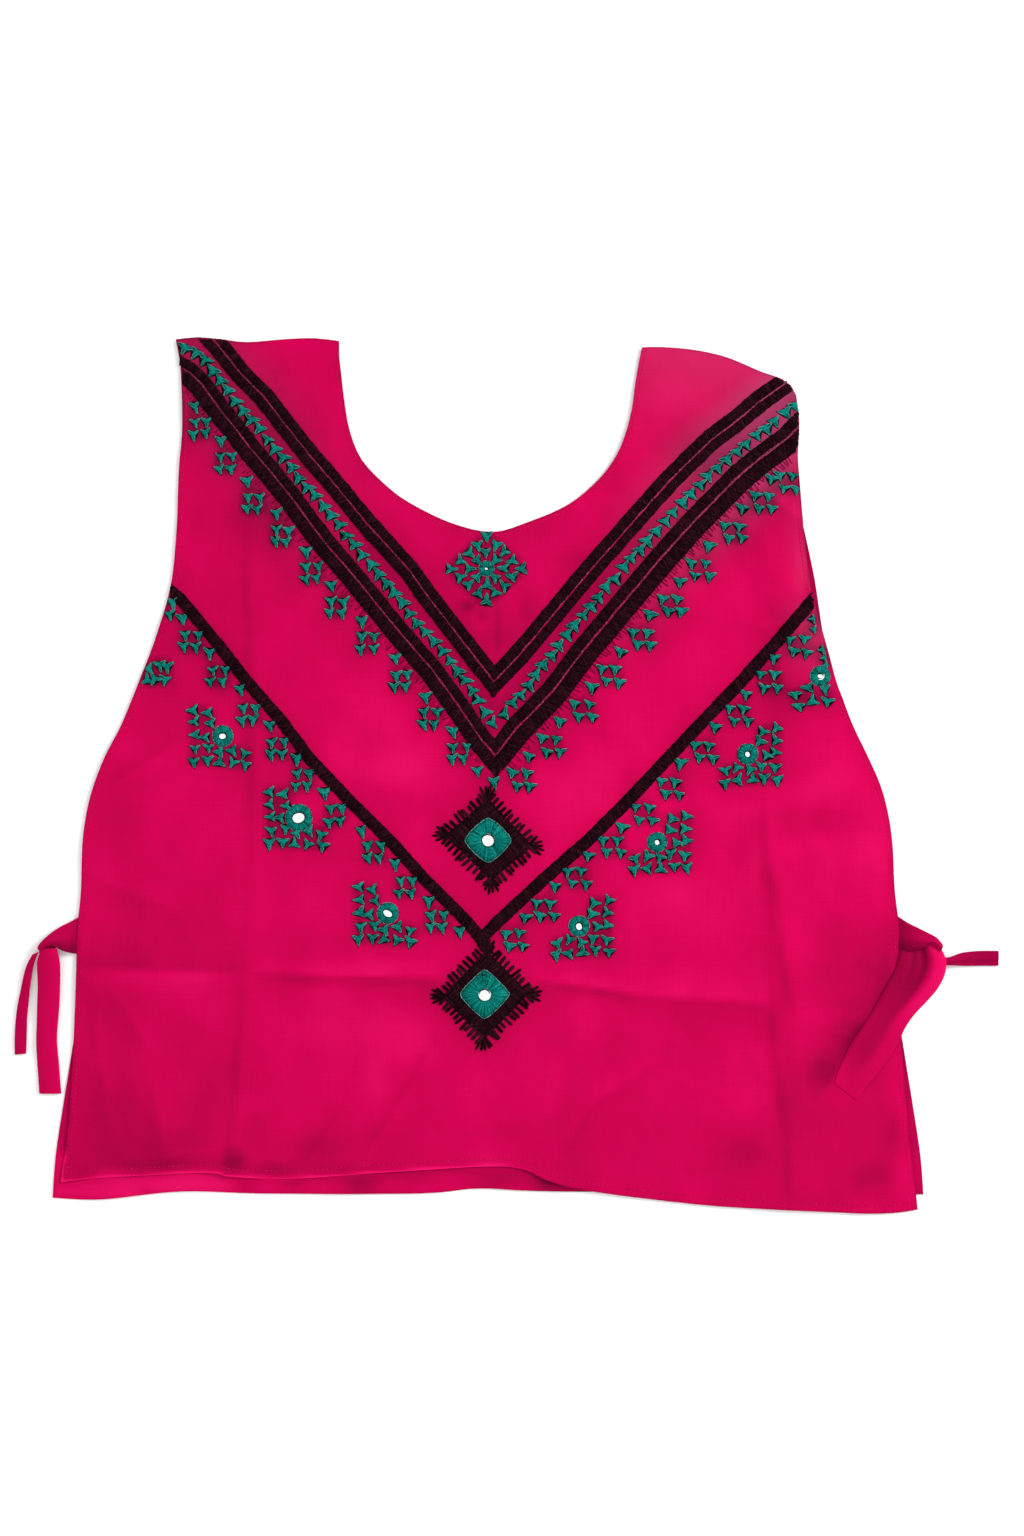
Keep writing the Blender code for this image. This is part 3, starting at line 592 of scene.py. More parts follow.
BACK_RIGHT_SHOULDER = (
    (183.4, 227.0), (180.2, 232.2), (174.4, 236.2), (162.8, 240.2), (144.8, 247.8), (133.0, 251.6),
    (121.0, 254.4), (104.0, 255.8), (93.9, 255.6),
)
BACK_LEFT_SHOULDER = (
    (-90.9, 259.4), (-104.0, 261.0), (-120.0, 260.6), (-144.0, 258.7), (-160.0, 260.4), (-174.0, 261.6),
    (-186.3, 260.3),
)
BACK_NECK_EXTRA = 1.5  # how much wider and deeper its neck is than the front's
BACK_STEP, BACK_PITCH = 8.0, 3.4  # of its outline and of its squares
BACK_TOP = 0.75  # height of its outer face
BACK_TONE = -0.02
BACK_PATCHES = (
    # painted shadow in the gap under the front's hem, and a few painted highlights: middle x, y, half sizes
    # across and up, change of tone
    (-146, -247, 8, 4, -0.5), (-118, -246, 8, 4, -0.3), (-76, -246, 13, 5, -0.6), (-42, -245, 11, 4, -0.3),
    (6, -243, 18, 5, -0.5), (36, -246, 10, 5, -0.7), (-206, -249, 5, 5, -0.25), (-190, -246, 30, 4, 0.2),
    (-218, -252, 26, 5, 0.15), (-40, -248, 10, 4, 0.2),
)

back_sides = (BACK_LEFT_SIDE, BACK_HEM, BACK_RIGHT_SIDE, BACK_RIGHT_SHOULDER, BACK_LEFT_SHOULDER)
back_outline = panel_outline(*back_sides, BACK_NECK_EXTRA, BACK_STEP)


def back_top(x, y):
    """The back's hem waves a little where it shows below the front."""
    shown = np.clip((-y - 225) / 20, 0, 1) * np.clip((90 - x) / 60, 0, 1)
    return BACK_TOP + shown * (0.35 + 0.3 * np.sin(x / 19.0) + 0.15 * np.sin(x / 7.3 + 1))


back_panel, back_points = cut_cloth("back_cloth", back_outline, BACK_PITCH, back_top, cotton)
back_x, back_y = back_points[:, 0], back_points[:, 1]
beside_front = near_line(back_x, back_y, front_outline, closed=True)[0]
back_edge = np.clip(1 - near_line(back_x, back_y, back_outline, closed=True)[0], 0, 1)
# painted highlight where the lifted hem on the left catches the light, and painted shade along the back's
# edge
lifted = np.clip((-225 - back_y) / 5, 0, 1) * np.clip((-80 - back_x) / 70, 0, 1)
back_tone = BACK_TONE + 0.3 * lifted
back_tone -= (0.4 - 0.25 * lifted) * np.exp(-((beside_front / 4.0) ** 2))  # the front shades it
back_tone -= 0.3 * back_edge
for patch in BACK_PATCHES:
    back_tone += spot(back_x, back_y, *patch)
set_attribute(back_panel.data, "tone", back_tone)
dress(back_panel, "back_panel")

# Black bands
# Rows of herringbone in dull black thread, worked so close that the cloth is covered. Two pairs of rows
# make the upper V and one row the lower V. Each row is a narrow padded base under slanting stitches.
UPPER_INNER_LINE = (
    (-172.0, 269.0), (-164.9, 261.2), (-159.2, 254.6), (-148.7, 241.2), (-134.3, 226.8), (-121.9, 210.5),
    (-106.6, 191.4), (-89.4, 171.4), (-72.2, 150.3), (-47.3, 123.0), (-34.8, 105.3), (-19.6, 86.0),
    (-6.2, 68.6), (3.6, 56.0), (18.0, 70.8), (31.0, 86.0), (46.6, 105.0), (67.0, 129.0), (88.2, 153.0),
    (109.5, 177.0), (134.1, 201.0), (150.0, 213.0), (164.4, 225.0), (192.0, 245.0),
)
UPPER_OUTER_LINE = (
    (-191.0, 248.5), (-183.1, 244.0), (-178.4, 241.0), (-171.7, 234.5), (-162.1, 221.1), (-152.5, 209.1),
    (-143.0, 196.7), (-129.5, 180.9), (-119.0, 168.0), (-98.0, 139.7), (-79.8, 118.7), (-52.8, 85.4),
    (-33.7, 63.6), (-17.8, 41.9), (-3.4, 20.4), (4.6, 11.6), (17.6, 28.0), (28.5, 39.0), (39.1, 50.0),
    (57.2, 74.2), (83.0, 105.0), (103.2, 129.0), (124.8, 153.0), (148.5, 177.0), (162.3, 189.0),
    (178.8, 201.0), (194.0, 216.0),
)
LOWER_LINE = (
    (-194.0, 113.0), (-184.2, 105.0), (-164.4, 81.0), (-145.5, 57.0), (-124.5, 33.0), (-106.5, 9.0),
    (-83.7, -15.0), (-59.4, -39.0), (-37.8, -63.0), (-13.8, -87.0), (-4.0, -98.2), (6.2, -87.8),
    (32.0, -63.8), (59.3, -39.8), (83.6, -15.8), (128.9, 32.2), (152.0, 56.2), (173.6, 80.2),
    (196.8, 107.2), (203.0, 114.4),
)
BAND_ROWS = (
    # band, its middle line, then each row's edges beside that line: on the left leg, then on the right leg
    ("upper_band_inner", UPPER_INNER_LINE, ((0.4, 6.3, 0.45, 6.8), (-6.5, -0.4, -6.3, -0.35))),
    ("upper_band_outer", UPPER_OUTER_LINE, ((0.4, 6.3, 0.85, 7.5), (-8.2, -0.45, -9.3, -0.2))),
    ("lower_band", LOWER_LINE, ((-3.6, 4.0, -3.9, 3.9),)),
)
STITCH_PITCH = 0.62
SLANT = 0.42  # how far a stitch leans, of its reach, one way and then the other
PAD_THICK = 0.3
BASE_NARROWER, BASE_RISE, BASE_RAGGED = 0.3, 0.25, 0.25  # the padding against its row of stitches
EDGE_CLEAR, PULL, PULLS = 0.2, 0.86, 14  # how stitches that pass the cloth's edge are drawn back on it
POINT_STITCHES, LEG_SIDEWAYS = 7, 0.6  # in the point of a V, and how far a leg runs sideways of its length


def leg_share(line, x, blend=10.0):
    """0 on the left leg of a V, 1 on its right leg, with a short change at the point."""
    knots = np.array(line, float)
    return np.clip((x - knots[np.argmin(knots[:, 1]), 0]) / blend + 0.5, 0, 1)


def offset_line(points, offset):
    """The line moved sideways, to its left, with mitred corners."""
    knots = np.array(points, float)
    offsets = np.broadcast_to(offset, len(knots))
    moved = []
    for i, knot in enumerate(knots):
        ahead = knots[min(i + 1, len(knots) - 1)] - knot
        behind = knot - knots[max(i - 1, 0)]
        ahead = ahead / (np.hypot(*ahead) or 1)
        behind = behind / (np.hypot(*behind) or 1)
        along = (ahead + behind) / np.hypot(*(ahead + behind))
        flat = ahead if i == 0 else behind
        square = np.array((-along[1], along[0]))
        cosine = max(0.4, abs(square @ np.array((-flat[1], flat[0]))))
        moved.append(knot + square * offsets[i] / cosine)
    return np.array(moved)


def leftward(along):
    """The directions square to a run, on its left."""
    return np.stack([-along[:, 1], along[:, 0]], axis=1)


def walk(line, step):
    """Points a step apart along a line, with the direction at each."""
    knots = np.array(line, float)
    runs = np.diff(knots, axis=0)
    lengths = np.hypot(*runs.T)
    ends = np.concatenate([[0], np.cumsum(lengths)])
    stations = np.arange(step / 2, ends[-1], step)
    which = np.clip(np.searchsorted(ends, stations) - 1, 0, len(lengths) - 1)
    along = runs[which] / lengths[which][:, None]
    return knots[which] + along * (stations - ends[which])[:, None], along


def corners_and_faces(bm):
    """A shape's corners and faces as arrays, to be laid many times. The bmesh is freed."""
    points = np.array([v.co for v in bm.verts])
    faces = np.array([[v.index for v in f.verts] for f in bm.faces])
    bm.free()
    return points, faces


def grain_shape():
    """One short thread, plump and blunt: a small ball drawn square along its length."""
    bm = bmesh.new()
    bmesh.ops.create_icosphere(bm, subdivisions=1, radius=1.0)
    points, faces = corners_and_faces(bm)
    points[:, 0] = np.sign(points[:, 0]) * np.abs(points[:, 0]) ** 0.4
    return points, faces


def join_shapes(name, points, faces, tones, material):
    """One mesh from many copies: points is copies by corners by 3, in millimetres."""
    copies, corners = points.shape[:2]
    tones = np.broadcast_to(np.reshape(tones, (copies, -1)), (copies, corners))
    every = (faces[None] + (np.arange(copies) * corners)[:, None, None]).reshape(-1, faces.shape[1])
    mesh = bpy.data.meshes.new(name)
    mesh.from_pydata((points.reshape(-1, 3) * MM).tolist(), [], every.tolist())
    mesh.shade_smooth()
    set_attribute(mesh, "thread_tone", tones.ravel())
    return new_object(name, mesh, material)


def thread_rows(starts, ends, width, rise):
    """Threads for lay_threads, a row for each, with one width and rise or one of its own for each."""
    count = len(starts)
    return np.column_stack([starts, ends, np.broadcast_to(width, count), np.broadcast_to(rise, count)])


def lay_threads(name, threads, material, surface=front_top, lift=0.0, seed=1, tone=0.0):
    """Many threads on the cloth. Each row is start x, start y, end x, end y, width, rise."""
    threads = np.array(threads, float)
    shape, faces = grain_shape()
    run = threads[:, 2:4] - threads[:, 0:2]
    middle = (threads[:, 2:4] + threads[:, 0:2]) / 2
    length = np.maximum(np.hypot(*run.T), 1e-6)
    along = run / length[:, None]
    ahead = shape[None, :, 0] * length[:, None] / 2
    sideways = shape[None, :, 1] * threads[:, 4][:, None] / 2
    x = middle[:, 0][:, None] + ahead * along[:, 0][:, None] - sideways * along[:, 1][:, None]
    y = middle[:, 1][:, None] + ahead * along[:, 1][:, None] + sideways * along[:, 0][:, None]
    z = surface(x, y) + lift + (shape[None, :, 2] * 0.5 + 0.4) * threads[:, 5][:, None]
    tones = tone + np.random.default_rng(seed).uniform(-0.8, 0.8, len(threads))
    return join_shapes(name, np.stack([x, y, z], axis=-1), faces, tones, material)


def inside_front(points, margin):
    """Which points lie on the front panel, at least a margin from its edge."""
    column = np.clip(np.round((points[:, 0] + MAP_HALF_X) / MAP_STEP).astype(int), 0, map_x.shape[1] - 1)
    row = np.clip(np.round((points[:, 1] + MAP_HALF_Y) / MAP_STEP).astype(int), 0, map_x.shape[0] - 1)
    return edge_distance[row, column] > margin


def draw_in(points, anchors):
    """Points that would hang over the front's edge, moved towards their anchors until they lie on it."""
    points = points.copy()
    for _ in range(PULLS):
        over = ~inside_front(points, EDGE_CLEAR)
        points[over] = anchors[over] + PULL * (points[over] - anchors[over])
    return points


def place_verts(verts, places):
    """Puts vertices at places that are given in millimetres."""
    for vert, place in zip(verts, places):
        vert.co = place * MM


def padded(bm, name, material):
    """A flat shape made into padding: a little thick, smooth, and without a tone of its own."""
    raise_walls(bm, PAD_THICK * MM)
    mesh = mesh_from(bm, name)
    mesh.shade_smooth()
    set_attribute(mesh, "thread_tone", np.zeros(len(mesh.vertices)))
    return new_object(name, mesh, material)


def ribbon(name, line, widths, rise, ragged, material, seed, step=1.5):
    """A low padded strip that follows the cloth on a line, with a width for each leg and ragged edges."""
    points, along = walk(line, step)
    width = widths[0] + (widths[1] - widths[0]) * leg_share(line, points[:, 0])
    rng = np.random.default_rng(seed)
    across = np.array((-1.0, -0.7, 0.0, 0.7, 1.0))
    bm = bmesh.new()
    bmesh.ops.create_grid(bm, x_segments=len(points) - 1, y_segments=len(across) - 1, size=1.0)
    bm.verts.ensure_lookup_table()
    order = sorted(bm.verts, key=lambda v: (round(v.co.x, 6), round(v.co.y, 6)))
    edges = rng.uniform(-ragged, ragged, (len(points), 2))
    sides = np.zeros((len(points), len(across), 2))
    for j, share in enumerate(across):
        reach = share * (width / 2 + edges[:, 0 if share < 0 else 1] * (abs(share) == 1))
        sides[:, j, 0] = points[:, 0] - along[:, 1] * reach
        sides[:, j, 1] = points[:, 1] + along[:, 0] * reach
        sides[:, j] = draw_in(sides[:, j], points)
    heights = front_top(sides[..., 0], sides[..., 1]) + rise * (1 - np.abs(across[None, :]) ** 3)
    place_verts(order, np.concatenate([sides, heights[..., None]], axis=2).reshape(-1, 3))
    return padded(bm, name, material)


THREAD_VARIES = 0.35  # how much one stitch's tone differs from the next


def thread_material(name, colours, roughness, sheen, gloss):
    """Dyed thread: a stitch is a little lighter or darker than the next, and the deepest colour paints shade
    where a low tone is given.
    The fluff on a thread is far finer than 1 mm, and is drawn at about that size so that it shows."""
    deepest, dark, middle, light = colours
    material, tree = new_material(name)
    place = add_node(tree, "TexCoord")
    shade = add_node(tree, "Attribute", {"attribute_name": "thread_tone"})
    fluff = add_node(tree, "TexNoise", {"Scale": STREAKS, "Detail": 3.0}, {"Vector": (place, "Object")})
    parts = {0: (shade, "Fac"), 2: (fluff, "Fac")}
    mixed = add_node(tree, "Math", {"operation": "MULTIPLY_ADD", 1: THREAD_VARIES}, parts)
    ramp = add_node(tree, "ValToRGB", links={"Fac": (mixed, "Value")})
    ramp.color_ramp.elements[0].color = linear(deepest)
    ramp.color_ramp.elements[1].color = linear(light)
    ramp.color_ramp.elements.new(0.2).color = linear(dark)
    ramp.color_ramp.elements.new(0.5).color = linear(middle)
    bump = add_node(tree, "Bump", {"Strength": 0.4, "Distance": 0.0002}, {"Height": (fluff, "Fac")})
    shader = add_node(
        tree,
        "BsdfPrincipled",
        {"Roughness": roughness, "Sheen Weight": sheen, "Sheen Roughness": 0.4, "Specular IOR Level": gloss},
        {"Base Color": (ramp, "Color"), "Normal": (bump, "Normal")},
    )
    add_node(tree, "OutputMaterial", links={"Surface": (shader, "BSDF")})
    return material


# Black cotton thread, soft twisted: nearly no gloss, with a plum cast from the pink cloth under it
BLACKS = ("#060002", "#0E0206", "#1C040C", "#32121D")
black_thread = thread_material("black_cotton_thread", BLACKS, 0.9, 0.0, 0.03)


def tuck_in(threads):
    """Draws in the ends of stitches that would hang over the front's edge."""
    threads = np.array(threads, float)
    threads[:, 2:4] = draw_in(threads[:, 2:4], threads[:, 0:2])
    threads[:, 0:2] = draw_in(threads[:, 0:2], threads[:, 2:4])
    return threads[inside_front((threads[:, 0:2] + threads[:, 2:4]) / 2, 0.4)]


def stitched_row(line, widths, seed):
    """Slanting stitches across a row, of uneven reach, as the hand holds the row's edges by eye."""
    rng = np.random.default_rng(seed)
    points, along = walk(line, STITCH_PITCH)
    width = (widths[0] + (widths[1] - widths[0]) * leg_share(line, points[:, 0]))[:, None]
    slant = np.where(np.arange(len(points)) % 2, SLANT, -SLANT) + rng.uniform(-0.1, 0.1, len(points))
    square = leftward(along)
    station = np.arange(len(points)) * STITCH_PITCH
    # each edge of the row wanders in slow waves of its own
    wander = [
        sum(0.16 * np.sin(station / wave + rng.uniform(0, 6)) for wave in (2.3, 4.1, 7.7)) for _ in range(2)
    ]
    reach = width / 2 + rng.uniform(-0.4, 0.3, (len(points), 2)) + np.stack(wander, 1)
    half = square + along * slant[:, None]
    starts = points - half * reach[:, :1]
    ends = points + half * reach[:, 1:]
    thicks, rises = rng.uniform(0.8, 1.15, len(points)), rng.uniform(0.5, 0.75, len(points))
    return thread_rows(starts, ends, thicks, rises)


def corner_point(line, width, seed):
    """Stitches that fill the point of a V, from its inner corner to its tip."""
    rng = np.random.default_rng(seed)
    knots = np.array(line, float)
    low = knots[np.argmin(knots[:, 1])]
    tip = low - (0, width / 2 / LEG_SIDEWAYS)
    across = np.linspace(-1, 1, POINT_STITCHES)
    starts = low + np.stack([across * width * 0.42, 0.6 - np.abs(across) * 0.2], 1)
    below = np.abs(across) * 0.9 + rng.uniform(0, 0.4, POINT_STITCHES)
    ends = tip + np.stack([across * 0.7, below], 1)
    return thread_rows(starts, ends, 1.3, 0.7)


def trim_line(line, margin=0.8):
    """The stretch of a line that lies on the front panel."""
    points, _ = walk(line, 1.0)
    return points[inside_front(points, margin)]


for band_name, line, rows in BAND_ROWS:
    share = leg_share(line, np.array(line)[:, 0])
    stitches = []
    for k, (near_left, far_left, near_right, far_right) in enumerate(rows):
        left_middle, right_middle = (near_left + far_left) / 2, (near_right + far_right) / 2
        row_line = offset_line(line, left_middle * (1 - share) + right_middle * share)
        widths = np.array((far_left - near_left, far_right - near_right))
        base = (trim_line(row_line), widths - BASE_NARROWER, BASE_RISE, BASE_RAGGED)
        dress(ribbon(f"{band_name}_base_{k + 1}", *base, black_thread, 40 + k))
        stitches += [stitched_row(row_line, widths, 50 + k), corner_point(row_line, min(widths), 55 + k)]
    stitches = tuck_in(np.concatenate(stitches))
    band = lay_threads(band_name + "_stitches", stitches, black_thread, lift=BASE_RISE, seed=60)
    dress(band, band_name)

# Tacking thread
# Between the two black rows of a pair lies the thread that the rows were counted from, a dusty rose now.
ROSES = ("#4A1428", "#5E2038", "#74304A", "#8C4A62")
rose_thread = thread_material("rose_tacking_thread", ROSES, 0.8, 0.02, 0.1)
TACK_STITCH, TACK_GAP, TACK_STRAY = 2.4, 0.35, 0.22

tacks = []
for seed, line in ((65, UPPER_INNER_LINE), (66, UPPER_OUTER_LINE)):
    share = leg_share(line, np.array(line)[:, 0])
    points, along = walk(offset_line(line, 0.4 * share), TACK_STITCH + TACK_GAP)
    strayed = np.random.default_rng(seed).uniform(-TACK_STRAY, TACK_STRAY, (len(points), 1))
    points = points + leftward(along) * strayed
    half = along * TACK_STITCH / 2
    tacks.append(thread_rows(points - half, points + half, 0.85, 0.35))
tacking = lay_threads("tacking_stitches", tuck_in(np.concatenate(tacks)), rose_thread, seed=67)
dress(tacking)

# Whiskers
# Along the outer side of the outer pair runs a fringe of short stitches, in a thread like the cloth's own
# pink but darker, so they show as a faint comb beside the black.
WHISKER_PITCH = 2.1
WHISKER_LENGTH = 5.4
WHISKER_START = (7.4, 8.3)  # from the pair's middle line on each leg, just under the black row's edge

PLUMS = ("#4A001E", "#6A002C", "#88003A", "#A40C4A")
plum_thread = thread_material("plum_cotton_thread", PLUMS, 0.85, 0.0, 0.05)


def whisker_rows(line, seed):
    """Short stitches that stand out from the lower, outer side of a line."""
    rng = np.random.default_rng(seed)
    points, along = walk(line, WHISKER_PITCH)
    square = -leftward(along)
    starts = points + square * np.interp(leg_share(line, points[:, 0]), (0, 1), WHISKER_START)[:, None]
    lengths = WHISKER_LENGTH * rng.uniform(0.6, 1.2, (len(points), 1))
    lean = along * rng.uniform(-0.35, 0.35, (len(points), 1))
    ends = starts + (square + lean) * lengths
    return thread_rows(starts, ends, 0.9, 0.4)[inside_front(ends, 0.5)]


whisker_threads = whisker_rows(UPPER_OUTER_LINE, 70)
dress(lay_threads("whisker_stitches", whisker_threads, plum_thread, seed=71, tone=-0.4))

# Chain of stars
# One row of three-tipped stars in green floss runs between the two black pairs, all turned alike on a leg.
# A star is a small satin-stitched pad with its threads drawn out to the tips.
LEFT_CHAIN = (
    # from the point of the V up to the shoulder
    (2.6, 31.6), (-5.5, 46.1), (-19.3, 65.8), (-34.1, 83.9), (-49.4, 100.7), (-62.6, 119.2), (-80.8, 140.2),
    (-98.9, 163.2), (-114.7, 181.6), (-132.9, 203.8), (-148.7, 222.4), (-162.1, 240.4), (-171.7, 252.8),
    (-178.4, 258.6), (-188.0, 261.0),
)
RIGHT_CHAIN = (
    (10.0, 37.2), (26.6, 56.2), (37.1, 71.2), (51.0, 88.7), (64.6, 105.0), (85.1, 129.0), (106.5, 153.0),
    (129.0, 177.0), (141.4, 189.0), (156.4, 201.0), (171.0, 213.0), (190.5, 228.0),
)
CHAIN_STEP = 7.5
STAR_REACH = 4.95  # from a star's middle to its tips
CHAIN_SIZE = 1.02  # the sizes of stars are shares of that reach
STAR_RISE = 0.75
STAR_WAIST = 0.32  # how far the sides' middles stand from a star's middle, of its reach
STAR_NECK, STAR_NECK_TURN = 0.54, 0.18  # where a side runs out into the thin tip: of the reach, in radians
STAR_TOP = 0.78  # how wide the pad is above, of its width on the cloth
BASE_SHOWS, BASE_SHOWS_AT_TIP = 0.95, 0.5  # how far its dark foot, a painted shadow, stands out round it
STAR_STRAY, TIP_STRAY = 0.25, 6  # how far the hand strays, in millimetres and degrees
LEFT_CHAIN_TIPS, RIGHT_CHAIN_TIPS, POINT_TIPS = (135, 235, 355), (51, 178, 300), (80, 190, 300)

# Green silk floss, untwisted: deep and even over the satin stitches. The thread that runs round a shape lies
# across the light, so it is given paler, greyer colours of its own: a painted highlight.
GREENS = ("#03100D", "#00403A", "#036A62", "#1A8A7E")
PALE_GREENS = ("#0A3432", "#2C645E", "#4C857E", "#72A39C")
green_floss = thread_material("green_silk_floss", GREENS, 0.6, 0.0, 0.01)
pale_floss = thread_material("green_silk_floss_edge", PALE_GREENS, 0.6, 0.0, 0.01)


def unit(angle):
    """Steps of one in directions that are given in radians."""
    return np.stack([np.cos(angle), np.sin(angle)], 1)


def star_shape():
    """A star's parts: a low ring of twelve corners, a smaller one above it and the middle point."""
    bm = bmesh.new()
    bmesh.ops.create_cone(bm, cap_ends=True, segments=12, radius1=1.0, radius2=0.7, depth=1.0)
    top = [f for f in bm.faces if f.calc_center_median().z > 0.4]
    bmesh.ops.poke(bm, faces=top)
    bmesh.ops.triangulate(bm, faces=bm.faces, quad_method="BEAUTY", ngon_method="BEAUTY")
    return corners_and_faces(bm)


def lay_stars(name, stars, seed):
    """Stars on the cloth. Each is a middle x, y, three tip directions in degrees, rising, and a size."""
    rng = np.random.default_rng(seed)
    stars = np.array(stars, float)
    stars[:, 0:2] += rng.normal(0, STAR_STRAY, (len(stars), 2))
    middles = stars[:, 0:2]
    tips = np.radians(stars[:, 2:5] + rng.normal(0, TIP_STRAY, (len(stars), 3)))
    reach = STAR_REACH * stars[:, 5:6] * rng.uniform(0.84, 1.16, (len(stars), 3))
    shape, faces = star_shape()
    corner = np.round(np.degrees(np.arctan2(shape[:, 1], shape[:, 0])) / 30).astype(int) % 12
    first = corner.min()
    middle_point = np.hypot(shape[:, 0], shape[:, 1]) < 0.1
    raised = (shape[:, 2] > 0) & ~middle_point
    x, y = np.zeros((len(stars), len(shape))), np.zeros((len(stars), len(shape)))
    waist = STAR_WAIST * rng.uniform(0.82, 1.15, len(stars))
    for k in range(len(shape)):
        tip, phase = divmod((corner[k] - first) % 12, 4)
        here, there = tips[:, tip], tips[:, (tip + 1) % 3] + (math.tau if tip == 2 else 0)
        near, far = reach[:, tip], reach[:, (tip + 1) % 3]
        angle = (here, here + STAR_NECK_TURN, (here + there) / 2, there - STAR_NECK_TURN)[phase]
        radius = (near, STAR_NECK * near, waist * (near + far) / 2, STAR_NECK * far)[phase]
        if middle_point[k]:
            place = middles
        elif raised[k]:
            place = middles + unit(angle) * (STAR_TOP * radius)[:, None]
        else:
            # painted shadow: the foot shows as a dark line all round, most on the side away from the light
            radius = radius + (BASE_SHOWS_AT_TIP if phase == 0 else BASE_SHOWS)
            place = middles + (unit(angle) * radius[:, None] - (0.1, 0.25))
        x[:, k], y[:, k] = draw_in(place, middles).T
    z = front_top(x, y) + np.where(middle_point, 1.0, np.where(raised, 0.72, 0.2)) * STAR_RISE
    # the foot's low tone paints its shadow in the thread's deepest colour
    part_tones = np.where(middle_point, 0.0, np.where(raised, 0.1, -1.9))
    tones = rng.uniform(-0.3, 0.3, (len(stars), 1)) + part_tones
    bodies = join_shapes(name + "_pads", np.stack([x, y, z], -1), faces, tones, green_floss)
    rows, rims = [], []
    for tip in range(3):
        run = unit(tips[:, tip])
        start = middles - run * 0.1 * reach[:, [tip]]
        end = draw_in(middles + run * 0.72 * reach[:, [tip]], middles)
        rows.append(thread_rows(start, end, 1.0, 0.5))
        # the outermost thread runs from this tip to the side's middle and on to the next tip
        there = tips[:, (tip + 1) % 3] + (math.tau if tip == 2 else 0)
        near, far = reach[:, tip], reach[:, (tip + 1) % 3]
        turns = (tips[:, tip] + 0.03, (tips[:, tip] + there) / 2, there - 0.03)
        lengths = (near, 0.96 * waist * (near + far) / 2, far)
        ends = [draw_in(middles + unit(a) * length[:, None], middles) for a, length in zip(turns, lengths)]
        rims += [thread_rows(ends[0], ends[1], 0.4, 0.4), thread_rows(ends[1], ends[2], 0.4, 0.4)]
    rows, rims = np.concatenate(rows), np.concatenate(rims)
    threads = lay_threads(name + "_threads", rows, green_floss, lift=0.42 * STAR_RISE, seed=seed + 1)
    outer = lay_threads(name + "_outer_threads", rims, pale_floss, lift=0.12, seed=seed + 2)
    for piece in (bodies, threads, outer):
        dress(piece)


chain = []
for line, tips in ((LEFT_CHAIN, LEFT_CHAIN_TIPS), (RIGHT_CHAIN, RIGHT_CHAIN_TIPS)):
    points, _ = walk(line, CHAIN_STEP)
    points = points - (points[0] - np.array(line[0]))
    for x, y in points[inside_front(points, 0.8)]:
        chain.append((x, y, *(POINT_TIPS if (x, y) == line[0] else tips), CHAIN_SIZE))
lay_stars("chain_stars", chain, 80)

# Star clusters
# Below each V the same stars stand in fours, with a single one beside the black between two of them. The
# places are the worker's own, counted off down each leg by eye, so the steps are uneven.
def from_pixel(column, row):
    """A place in the photo as millimetres on the cloth."""
    return (column - ORIGIN_PIXEL_X) * PIXEL_MM, (ORIGIN_PIXEL_Y - row) * PIXEL_MM


UPPER_LEFT_FOURS = (
    (200, 428), (226, 463), (253, 503), (282, 536), (312, 573), (337, 607), (368, 643), (401, 681),
    (430, 718), (459, 753),
)
UPPER_RIGHT_FOURS = (
    (788, 482), (763, 502), (734, 532), (700, 569), (672, 605), (642, 638), (611, 675), (583, 710),
    (551, 745), (521, 779),
)
LOWER_LEFT_FOURS = (
    (191, 641), (218, 676), (249, 714), (278, 748), (303, 780), (336, 815), (374, 852), (406, 887),
    (437, 921),
)
LOWER_RIGHT_FOURS = (
    (798, 645), (769, 681), (738, 715), (704, 751), (670, 787), (644, 813), (612, 846), (577, 877),
    (545, 909), (514, 939),
)
LOWER_LEFT_SINGLES = (
    (183, 619), (209, 653), (240, 690), (270, 725), (297, 759), (325, 792), (361, 830), (395, 864),
    (428, 900), (460, 932), (172, 602), (169, 614),
)
LOWER_RIGHT_SINGLES = (
    (774, 658), (746, 694), (714, 727), (680, 763), (621, 826), (588, 856), (554, 886), (525, 917),
)
UPPER_LEFT_SINGLE, UPPER_RIGHT_SINGLE = (-5.5, -22.0), (8.0, -23.5)  # photo pixels from the four's middle
APEX_SINGLES = ((477, 771), (493, 781))
LEFT_FOUR = ((-3.2, 3.6), (4.2, 3.8), (-4.1, -3.6), (2.8, -3.3))  # millimetres from the four's middle
RIGHT_FOUR = ((-5.4, 4.0), (3.2, 3.8), (-2.8, -3.6), (5.2, -3.8))
LEFT_TIPS, RIGHT_TIPS = (42, 151, 277), (11, 146, 264)
FOUR_SIZE, SINGLE_SIZE = 0.88, 1.0


def fours_and_singles(fours, singles, offsets, tips):
    """Stars for lay_stars: four round each place in the first list, and one at each in the second."""
    stars = []
    for column, row in fours:
        x, y = from_pixel(column, row)
        for across, up in offsets:
            stars.append((x + across, y + up, *tips, FOUR_SIZE))
    for column, row in singles:
        stars.append((*from_pixel(column, row), *tips, SINGLE_SIZE))
    return stars


